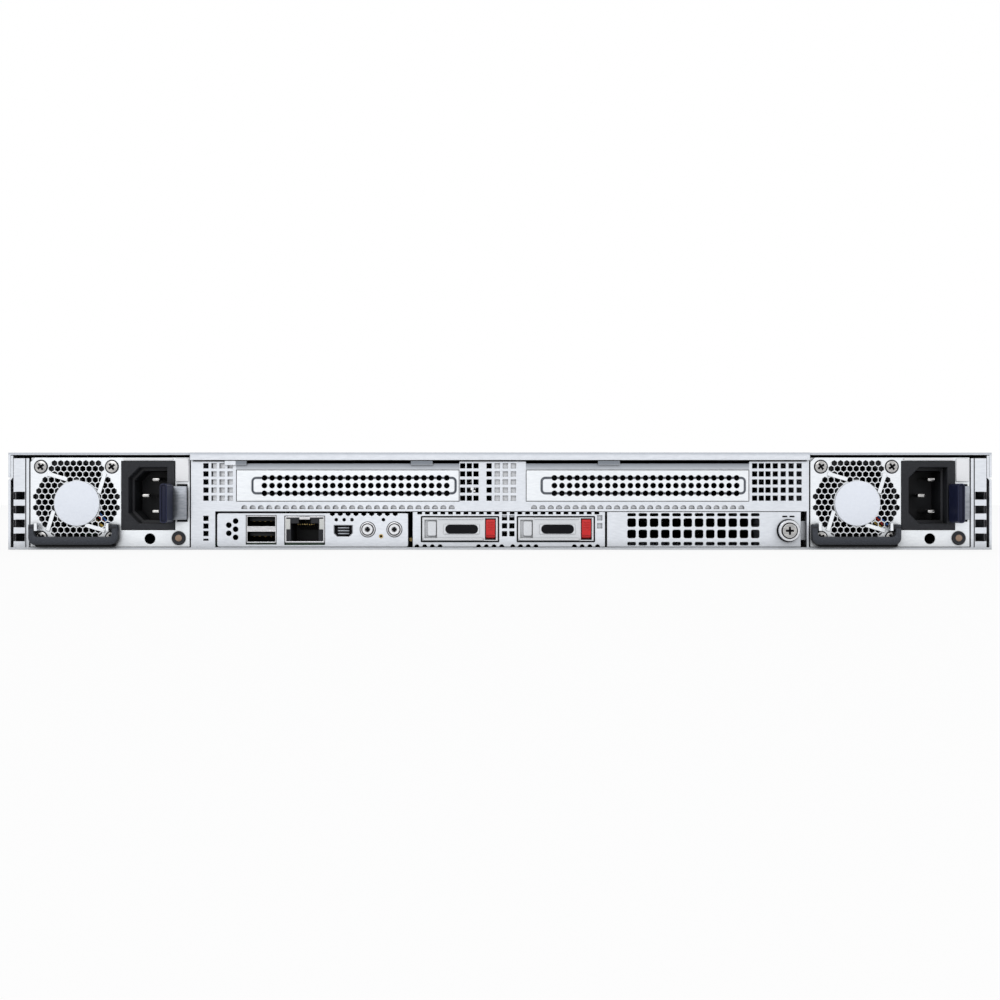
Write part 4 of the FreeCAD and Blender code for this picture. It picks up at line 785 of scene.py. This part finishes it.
def supplyHandle(k, left):
    low, high = nodeBox(f"psu_handle_{k}")
    x = (left + 0.1, left + 39.2)
    near, far = low[1] - rear, high[1] - rear
    middle = (x[0] + x[1]) / 2
    leg, bar, top = supply["legWide"], supply["barLow"], high[2]
    outer, inner = [], []
    for edge, side in ((x[0], 1), (x[1], -1)):
        outer += bailEdge(edge, supply["outerCorner"], bar, top, middle)[::side]
        inner += bailEdge(edge + side * leg, supply["innerCorner"], bar + supply["barHigh"], top,
                          middle)[::side]
    outer, inner = np.array(outer), np.array(inner)
    across = (inner - outer) / np.linalg.norm(inner - outer, axis=1)[:, None]
    soft = supply["bailRound"]
    section = [(outer, far), (outer, near + soft), (outer + 0.3 * soft * across, near + 0.3 * soft),
               (outer + soft * across, near), (inner - soft * across, near),
               (inner - 0.3 * soft * across, near + 0.3 * soft), (inner, near + soft), (inner, far)]
    bail = loft(np.stack([atDepth(line, depth) for line, depth in section], axis=1))
    supplyPiece(k, "bail", [bail], "slate_plastic", "handle", True)
    strip = plate((x[0] + 2.6, x[1] - 1.2), (supply["stripLow"], bar + 0.6),
                  (near + 0.8, far - 0.2), 0.9, 0.3)
    eyes = [turned([(0.0, 1.6), (1.1, 1.6), (1.3, 1.4), (1.3, -1.6), (0.0, -1.6)],
                   (place, rear + (near + far) / 2, top - 1.2), (1, 0, 0), 24)
            for place in (x[0] + leg / 2 + 0.6, x[1] - leg / 2 - 0.6)]
    supplyPiece(k, "bail_strip", [strip] + eyes, "black_plastic", "handle")


def supplyLatch(k, right):
    low, high = nodeBox(f"psu_latch_{k}")
    middle = (low[2] + high[2]) / 2
    tip = low[1] - rear
    rim = ring((right - 9.8, right - 6.6), (middle - 8.7, middle + 8.4), (tip, -1.7), 1.3, 0.7, 0.3)
    web = boxAt((right - 9.4, right - 7.0), (tip + 0.7, -1.8), (middle - 8.2, middle + 7.9), 0.5)
    supplyPiece(k, "tab", [rim, web], "navy plastic", "latch", True)
    tall = around(middle, 7.4)
    arm = [boxAt((right - 9.6, right - 0.7), (-2.4, -1.6), tall, 0.35, 2),
           boxAt((right - 2.7, right - 1.7), (-2.0, 34.0), tall, 0.35, 2),
           boxAt((right - 1.9, right + 0.2), (6.5, 12.0), around(middle, 3.0), 0.3, 2),
           tube(0.0, 1.0, 9.6, -9.6, (right - 2.2, rear + 34.0, middle + 0.2), (0, 0, 1), 24)]
    supplyPiece(k, "spring", arm, "spring steel", "latch")


def supplyFace(k, left, base, top):
    thin = (-0.5, 0.02)
    plates = [plate((left + 64.2, left + 69.9), (base + 28.7, top - 0.4), thin, 0.4, 0.15),
              plate((left + 41.0, left + 63.0), (top - 1.1, top - 0.2), thin, 0.3, 0.12)]
    supplyPiece(k, "strips", plates, "white_plastic", "case")
    lens = supply["lensRadius"]
    place = (left + 65.4, rear, base + 3.8)
    rim = turned([(lens, -0.5), (3.0, -0.5), (3.0, 0.4), (2.75, 0.55), (2.5, 0.42), (2.2, 0.36),
                  (lens, 0.36)], place)
    supplyPiece(k, "lens_rim", [rim], "black_plastic", "case")
    dome = [(lens * math.sin(t), 0.34 + 0.25 * math.cos(t)) for t in np.linspace(0, math.pi / 2, 9)]
    glass = turned(dome + [(lens, -0.4), (0.0, -0.4)], place)
    supplyPiece(k, "lens", [glass], "amber lens", "case")


for k in (1, 2):
    fan = middleOf(f"psu_fan_frame_{k}")
    caseLow, caseHigh = nodeBox(f"psu_case_{k}")
    supplyScrews(k, fan)
    supplyHub(k, fan)
    supplyInlet(k)
    supplyHandle(k, caseLow[0])
    supplyLatch(k, caseHigh[0])
    supplyFace(k, caseLow[0], caseLow[2], caseHigh[2])
print("power supplies dressed")


# ports and buttons
ports = {"usbMouths": ((10.3, 14.5), (3.5, 7.9)), "usbX": (-110.9, -99.9), "usbPitch": 2.5,
         "lanX": -86.2, "lanPitch": 1.02, "screen": (-73.4, -65.0, 5.7, 10.9), "screenCut": 1.5,
         "buttonZ": 8.9, "buttons": {"id_button": -58.4, "reset_button": -46.6},
         "stands": (-126.0, -39.55)}


def usbPorts():
    x0, x1 = ports["usbX"]
    tongues, contacts, backs, rims = [], [], [], []
    for low, high in ports["usbMouths"]:
        tongues.append(boxAt((x0 - 0.1, x1 + 0.1), (2.8, 14.8), (high - 2.0, high - 0.3), 0.25, 2))
        for n in (-1.5, -0.5, 0.5, 1.5):
            x = (x0 + x1) / 2 + ports["usbPitch"] * n
            contacts.append(boxAt(around(x, 0.5), (3.2, 11.0), (high - 2.15, high - 1.9), 0.1, 2))
        backs.append(plate((x0 - 0.5, x1 + 0.5), (low + 0.1, high - 0.1), (11.5, 12.0), 0.2, 0.05))
        rims.append(ring((x0 - 1.1, x1 + 1.1), (low - 0.55, high + 0.5), (0.05, 1.2), 0.6, 0.5, 0.15))
    makePiece("usb_tongues", tongues, "black_plastic", "usb_connector")
    makePiece("usb_contacts", contacts, "gold plate", "usb_connector")
    makePiece("usb_backs", backs, "dark label and painted shade", "usb_connector")
    makePiece("usb_rims", rims, "port_metal", "usb_connector")


def lanPort():
    middle = ports["lanX"]
    step = np.linspace(0.0, 1.0, 8)
    section = roundedLoop((-0.18, 0.18), (-0.22, 0.22), 0.08, 2)
    contacts = [swept(np.column_stack([np.full(8, middle + ports["lanPitch"] * n),
                                       rear + 3.5 + 9.5 * step, 11.1 - 2.6 * step ** 1.5]),
                      section, (1, 0, 0)) for n in np.arange(8) - 3.5]
    makePiece("lan_contacts", contacts, "gold plate", "lan_connector")
    windows = [boxAt(around(x, 1.1), (0.0, 1.2), (8.9, 13.6), 0.25, 2) for x in around(middle, 7.5)]
    makePiece("lan_windows", windows, "window lens", "lan_connector")
    shield = ring(around(middle, 8.8), (3.0, 14.8), (0.08, 0.9), 0.5, 0.7, 0.15)
    tongue = plate(around(middle, 2.4), (13.3, 14.6), (-0.3, 0.3), 0.4, 0.1)
    makePiece("lan_shield", [shield, tongue], "port_metal", "lan_connector")


def ioBoard():
    base = nodeBox("io_faceplate")[0][2] + 0.3
    top = base + 1.6
    board = boxAt((nodeBox("io_board")[0][0] + 0.5, -41.8), (1.4, 112.0), (base, top), 0.2, 2)
    makePiece("io_board_plate", [board], "board_green", "io_board", True)
    x0, x1, z0, z1 = ports["screen"]
    blocks = [boxAt((-70.0, -54.0), (40.0, 56.0), (top, top + 2.0), 0.3, 2),
              boxAt((-105.0, -60.0), (102.0, 116.0), (top, top + 6.0), 0.4, 2),
              boxAt((x0 + 0.6, x1 - 0.6), (9.0, 20.0), (top, z1 + 0.4), 0.4, 2),
              boxAt((x0 + 1.7, x1 - 1.7), (2.2, 10.0), (7.9, 8.5), 0.2, 2)]
    makePiece("io_blocks", blocks, "black_plastic", "io_board")
    cut = ports["screenCut"]
    keyed = np.array([(x0 + cut, z0), (x1 - cut, z0), (x1, z0 + cut), (x1, z1), (x0, z1),
                      (x0, z0 + cut)])
    middle = keyed.mean(axis=0)
    outline = rayOutline(keyed - middle, np.linspace(-math.pi, math.pi, 72, endpoint=False))
    rings = np.stack([atDepth(outline * share + middle, depth) for share, depth in (
        (0.99, 8.9), (0.99, 0.3), (0.97, 0.12), (0.93, 0.12), (0.91, 0.3), (0.91, 8.8))])
    makePiece("screen_shell", [loft(rings)], "spring steel", "io_board")
    bars = [boxAt((x0 + 1.6, x1 - 1.6), (0.9, 8.0), around(z, 0.35), 0.25, 2)
            for z in (z0 + 1.3, (z0 + z1) / 2, z1 - 1.3)]
    makePiece("screen_tongue", bars, "spring steel", "io_board")
    back = plate((x0 + 0.5, x1 - 0.5), (z0 + 0.5, z1 - 0.5), (1.6, 8.6), 0.9, 0.1)
    makePiece("screen_block", [back], "dark label and painted shade", "io_board")
    stands = [turned([(0.0, -0.6), (0.5, -0.6), (0.5, 0.0), (0.8, 0.0), (0.9, -0.1), (0.9, -6.0),
                      (0.0, -6.0)], (x, rear + 2.0, 4.4), count=6) for x in ports["stands"]]
    makePiece("io_stands", stands, "brass", "io_board")


def buttons():
    rings, grooveShades = [], []
    for node, x in ports["buttons"].items():
        centre = (x, rear, ports["buttonZ"])
        rings.append(turned([(2.55, -0.6), (3.2, -0.6), (3.2, 0.25), (3.0, 0.4), (2.75, 0.4),
                             (2.55, 0.1)], centre, count=64))
        # Thin dark rings in the gaps round each ring and each cap: painted shade.
        grooveShades.append(tube(3.2, 3.5, 0.02, 0.10, centre, (0, -1, 0), 64))
        grooveShades.append(tube(2.32, 2.56, -0.4, 0.06, centre, (0, -1, 0), 64))
        cap = turned([(0.0, 0.35), (1.15, 0.35), (1.22, 1.1), (1.4, 1.2), (2.1, 1.2), (2.3, 1.0),
                      (2.3, -4.6), (0.0, -4.6)], centre, count=64)
        makePiece(node + "_cap", [cap], "white_plastic", node, True)
        heart = turned([(0.0, 0.55), (0.9, 0.55), (1.12, 0.45), (1.12, 0.3), (0.0, 0.3)], centre,
                       count=4)
        makePiece(node + "_heart", [heart], "dark label and painted shade", node)
    makePiece("button_rings", rings, "port_metal", "io_faceplate")
    makePiece("button_groove_shade", grooveShades, "dark label and painted shade", "io_faceplate")
    bush = turned([(0.55, -0.4), (0.92, -0.4), (0.92, 0.05), (0.75, 0.12), (0.55, 0.0)],
                  (-52.5, rear, 5.9), count=32)
    makePiece("reset_bush", [bush], "brass", "io_faceplate")


usbPorts()
lanPort()
ioBoard()
buttons()
print("ports and buttons dressed")


# storage carriers
carrierLook = {"label": (10.2, 24.6), "labelHigh": 4.0, "ribs": 4, "ribPitch": 1.1}


def storageCarrier(k):
    low, high = nodeBox(f"m2_carrier_{k}")
    latchLow, latchHigh = nodeBox(f"m2_latch_{k}")
    middle, half = (low[2] + high[2]) / 2, carrierLook["labelHigh"] / 2
    label = plate([low[0] + edge for edge in carrierLook["label"]], around(middle, half),
                  (-0.42, -0.28), 1.9, 0.05)
    makePiece(f"carrier_{k}_label", [label], "dark label and painted shade", f"m2_carrier_{k}")
    bars = [plate((low[0] + 0.3, latchLow[0] - 0.4), (low[2] + 0.1, low[2] + 1.2), (-0.6, 0.3),
                  0.4, 0.2),
            plate((low[0] + 7.0, high[0] - 6.4), (high[2] - 0.9, high[2] - 0.1), (-0.45, 0.3),
                  0.35, 0.15),
            plate((low[0] + 2.2, low[0] + 6.2), (low[2] + 2.0, high[2] - 1.6), (0.15, 0.9), 0.8, 0.3)]
    makePiece(f"carrier_{k}_trim", bars, "grey_plastic", f"m2_carrier_{k}")
    # A flat dark ring round each carrier: painted shade for the gap between carrier and bay.
    edge = ring((low[0] - 0.7, high[0] + 0.7), (low[2] - 0.7, high[2] + 0.7), (-0.08, 0.5), 0.5, 0.6,
                0.1)
    makePiece(f"bay_{k}_edge", [edge], "dark label and painted shade", "m2_bay_housing")
    x0, x1 = latchLow[0] + 0.75, latchHigh[0] - 0.75
    wide, whole = x1 - x0, latchHigh[0] - latchLow[0]
    pinZ = latchLow[2] + 1.5
    blade = [boxAt((x0, x1), (-0.5, 1.6), (latchLow[2] + 1.4, latchHigh[2]), 0.45),
             turned([(0.0, 0.0), (1.3, 0.0), (1.5, -0.2), (1.5, 0.2 - wide), (1.3, -wide),
                     (0.0, -wide)], (x1, rear + 1.4, pinZ), (1, 0, 0), 32),
             tube(0.0, 0.8, 0.0, -whole, (latchHigh[0], rear + 1.4, pinZ), (1, 0, 0), 24)]
    for n in range(carrierLook["ribs"]):
        z = latchHigh[2] - 1.0 - carrierLook["ribPitch"] * n
        blade.append(boxAt((x0 + 0.5, x1 - 0.5), (-0.75, -0.2), around(z, 0.25), 0.2, 2))
    makePiece(f"carrier_{k}_latch", blade, "red_plastic", f"m2_latch_{k}", True)


for k in (1, 2):
    storageCarrier(k)
print("storage carriers dressed")


# thumbscrew, side screws and vents
thumb = {"knurl": (36, 0.03, [2, 3]), "slotHalf": 0.3, "slotLong": 1.5, "slotDeep": 1.2}


def thumbScrew():
    x, _, z = middleOf("adapter_thumbscrew")
    centre = (x, rear, z)
    collar = turned([(3.6, 0.3), (4.5, 0.3), (4.75, 0.5), (4.75, 2.3), (4.5, 2.6), (3.6, 2.6)],
                    centre, count=144, knurl=thumb["knurl"])
    makePiece("thumb_collar", [collar], "bright_steel", "adapter_thumbscrew", True)
    seat = turned([(0.0, 0.02), (5.1, 0.02), (5.1, 0.28), (3.7, 0.32), (0.0, 0.32)], centre,
                  count=96)
    makePiece("thumb_seat", [seat], "dark label and painted shade", "adapter_blank")

    def dent(a, b):
        thin = np.clip((thumb["slotHalf"] - np.minimum(np.abs(a), np.abs(b))) / 0.15 + 1, 0, 1)
        ends = np.clip((thumb["slotLong"] - np.maximum(np.abs(a), np.abs(b))) / 0.2 + 1, 0, 1)
        return thin * ends * thumb["slotDeep"]

    disc = [(3.0 * t, 3.2) for t in np.linspace(0.0, 1.0, 16)]
    disc += [(3.15, 3.05), (3.15, 0.3), (1.7, 0.3), (1.7, -12.0), (0.0, -12.0)]
    makePiece("thumb_disc", [turned(disc, centre, count=96, dent=dent)], "screw steel",
              "adapter_thumbscrew")
    # Dark bars on the floor of the slot: painted shade in the recess.
    bars = [boxAt(around(x, a), (-2.45, -2.3), around(z, b), 0.05, 1)
            for a, b in ((1.4, 0.2), (0.2, 1.4))]
    makePiece("thumb_slot_shade", bars, "dark label and painted shade", "adapter_thumbscrew")


# The flush screws along both sides: the height of each row and its places from the rear
sideLook = {"radius": 2.6, "height": 0.3, "rows": {
    "top_cover": (37.0, (40.0, 300.0, 560.0)),
    "chassis_base": (9.0, (20.0, 170.0, 380.0, 620.0, 735.0))}}


def sideScrews():
    half = nodeBox("top_cover")[1][0]
    for node, (z, places) in sideLook["rows"].items():
        heads = [screwHead((side * half, rear + place, z), sideLook["radius"], sideLook["height"],
                           (side, 0, 0)) for side in (-1, 1) for place in places]
        makePiece(node + "_screws", heads, "bright_steel", node)


# Light sheets close behind some vents and arches, which look pale: each row's span in Z,
# then each sheet's in X
ventBacks = {"depths": (1.6, 2.2), "rows": (((20.7, 38.2), (-127.2, -117.6), (-2.6, 8.6)),
                                            ((17.95, 20.3), (-115.9, -18.5), (12.0, 109.4)))}


def ventSheets():
    sheets = [plate(span, high, ventBacks["depths"], 0.6, 0.1)
              for high, *spans in ventBacks["rows"] for span in spans]
    makePiece("vent_sheets", sheets, "vent backing", "rear_frame")


thumbScrew()
sideScrews()
ventSheets()
print("screws dressed")


# front carriers
driveLook = {"buttonWide": 9.0, "lamp": 1.1, "lampPitch": 5.0, "ribPitch": 2.9}


def driveFront(k):
    low, high = nodeBox(f"drive_lever_{k}")
    y0, y1 = low[1], high[1]
    z0, z1 = low[2] + 1.8, high[2] - 1.8
    bar = [roundedBox((low[0] + 2.0, high[0]), (y0, y1), (z0, z1), 1.3)]
    for n in range(3):
        z = z0 + 2.6 + driveLook["ribPitch"] * n
        bar.append(roundedBox((low[0] + 16.0, high[0] - 22.0), (y1 - 0.3, y1 + 0.15),
                              around(z, 0.6), 0.35, 2))
    pin = tube(0.0, 1.2, 7.0, -7.0, (low[0] + 2.0, (y0 + y1) / 2, (z0 + z1) / 2), (0, 0, 1), 24)
    makePiece(f"lever_{k}_bar", bar + [pin], "black_plastic", f"drive_lever_{k}", True)
    right = high[0] - 3.0
    button = roundedBox((right - driveLook["buttonWide"], right), (y1 - 0.5, y1 + 0.4),
                        (z0 + 1.6, z1 - 1.6), 0.4, 2)
    makePiece(f"lever_{k}_release", [button], "red_plastic", f"drive_lever_{k}")
    low, high = nodeBox(f"drive_carrier_{k}")
    lamp = driveLook["lamp"]
    lamps = [turned([(0.0, 0.35), (0.8, 0.3), (lamp, 0.0), (lamp, -0.6), (0.0, -0.6)],
                    (high[0] - 6.0 - driveLook["lampPitch"] * n, high[1] - 6.0, low[2] + 5.0),
                    (0, 1, 0), 24) for n in range(2)]
    makePiece(f"carrier_{k}_lamps", lamps, "window lens", f"drive_carrier_{k}")


for k in (1, 2, 3, 4):
    driveFront(k)
print("front dressed")


# floor, light, camera
# Each lamp has its place, its target, its size and its power.
studio = {"floorReach": 4.0, "floorUnder": -0.0002, "floorGlow": 0.85, "world": 0.72,
          "lamps": {"key": ((-0.5, -2.4, 1.3), (0.0, -0.39, 0.02), (1.6, 1.2), 13.0),
                    "side": ((1.8, -1.6, 0.9), (0.1, -0.3, 0.02), (1.0, 1.0), 4.0),
                    "top": ((0.0, 0.2, 2.4), (0.0, 0.0, 0.0), (1.8, 1.8), 1.0)},
          "cameraBack": 0.510, "cameraHigh": 0.0219, "lens": 41.6, "near": 0.01}


# 1 for rays straight from the camera, or by a mirror or through glass, else 0.
def seenRay(tree):
    path = addNode(tree, "LightPath")
    seen = figure("MAXIMUM", path.outputs["Is Camera Ray"], path.outputs["Is Glossy Ray"])
    return figure("MAXIMUM", seen, path.outputs["Is Transmission Ray"])


# The floor: near white, tinted by a slow noise, and part glow for rays that are seen.
def makeFloor():
    reach = studio["floorReach"]
    mesh = bpy.data.meshes.new("studio_floor")
    corners = [(a * reach, b * reach, studio["floorUnder"])
               for a, b in ((-1, -1), (1, -1), (1, 1), (-1, 1))]
    mesh.from_pydata(corners, [], [(0, 1, 2, 3)])
    floor = addObject("studio_floor", mesh)
    material, tree, shader = newMaterial("studio floor")
    noise = noiseOver(objectPlace(tree), Scale=3.0)
    tint = blendColour(noise, (0.93, 0.93, 0.94), (0.95, 0.95, 0.95))
    fill(shader.inputs, {"Base Color": tint, "Roughness": 0.9, "Specular IOR Level": 0.1})
    share = product(seenRay(tree), studio["floorGlow"])
    glow = addNode(tree, "Emission", {"Strength": 1.0})
    mixed = addNode(tree, "MixShader", [share, shader.outputs[0], glow.outputs[0]])
    feed(tree.nodes["Material Output"].inputs[0], mixed.outputs[0])
    mesh.materials.append(material)


def makeWorld():
    world = bpy.data.worlds.new("studio")
    scene.world = world
    world.use_nodes = True
    tree = world.node_tree
    strength = rampTo(seenRay(tree), 0.0, 1.0, studio["world"], 1.0)
    fill(tree.nodes["Background"].inputs, {"Color": (1, 1, 1), "Strength": strength})


def areaLamp(name, place, target, size, power):
    data = bpy.data.lights.new(name, "AREA")
    data.shape = "RECTANGLE"
    data.size, data.size_y = size
    data.energy = power
    lamp = addObject(name, data)
    lamp.location = place
    toward = np.array(target) - np.array(place)
    lamp.rotation_euler = (math.acos(-toward[2] / np.linalg.norm(toward)), 0.0,
                           math.atan2(-toward[0], toward[1]))


def makeCamera():
    data = bpy.data.cameras.new("camera")
    data.lens = studio["lens"]
    data.clip_start = studio["near"]
    camera = addObject("camera", data)
    camera.location = (0.0, rear * mm - studio["cameraBack"], studio["cameraHigh"])
    camera.rotation_euler = (math.pi / 2, 0.0, 0.0)
    scene.camera = camera


makeFloor()
makeWorld()
for name, lamp in studio["lamps"].items():
    areaLamp(name, *lamp)
makeCamera()
scene.view_settings.view_transform = "Standard"
print("studio built")
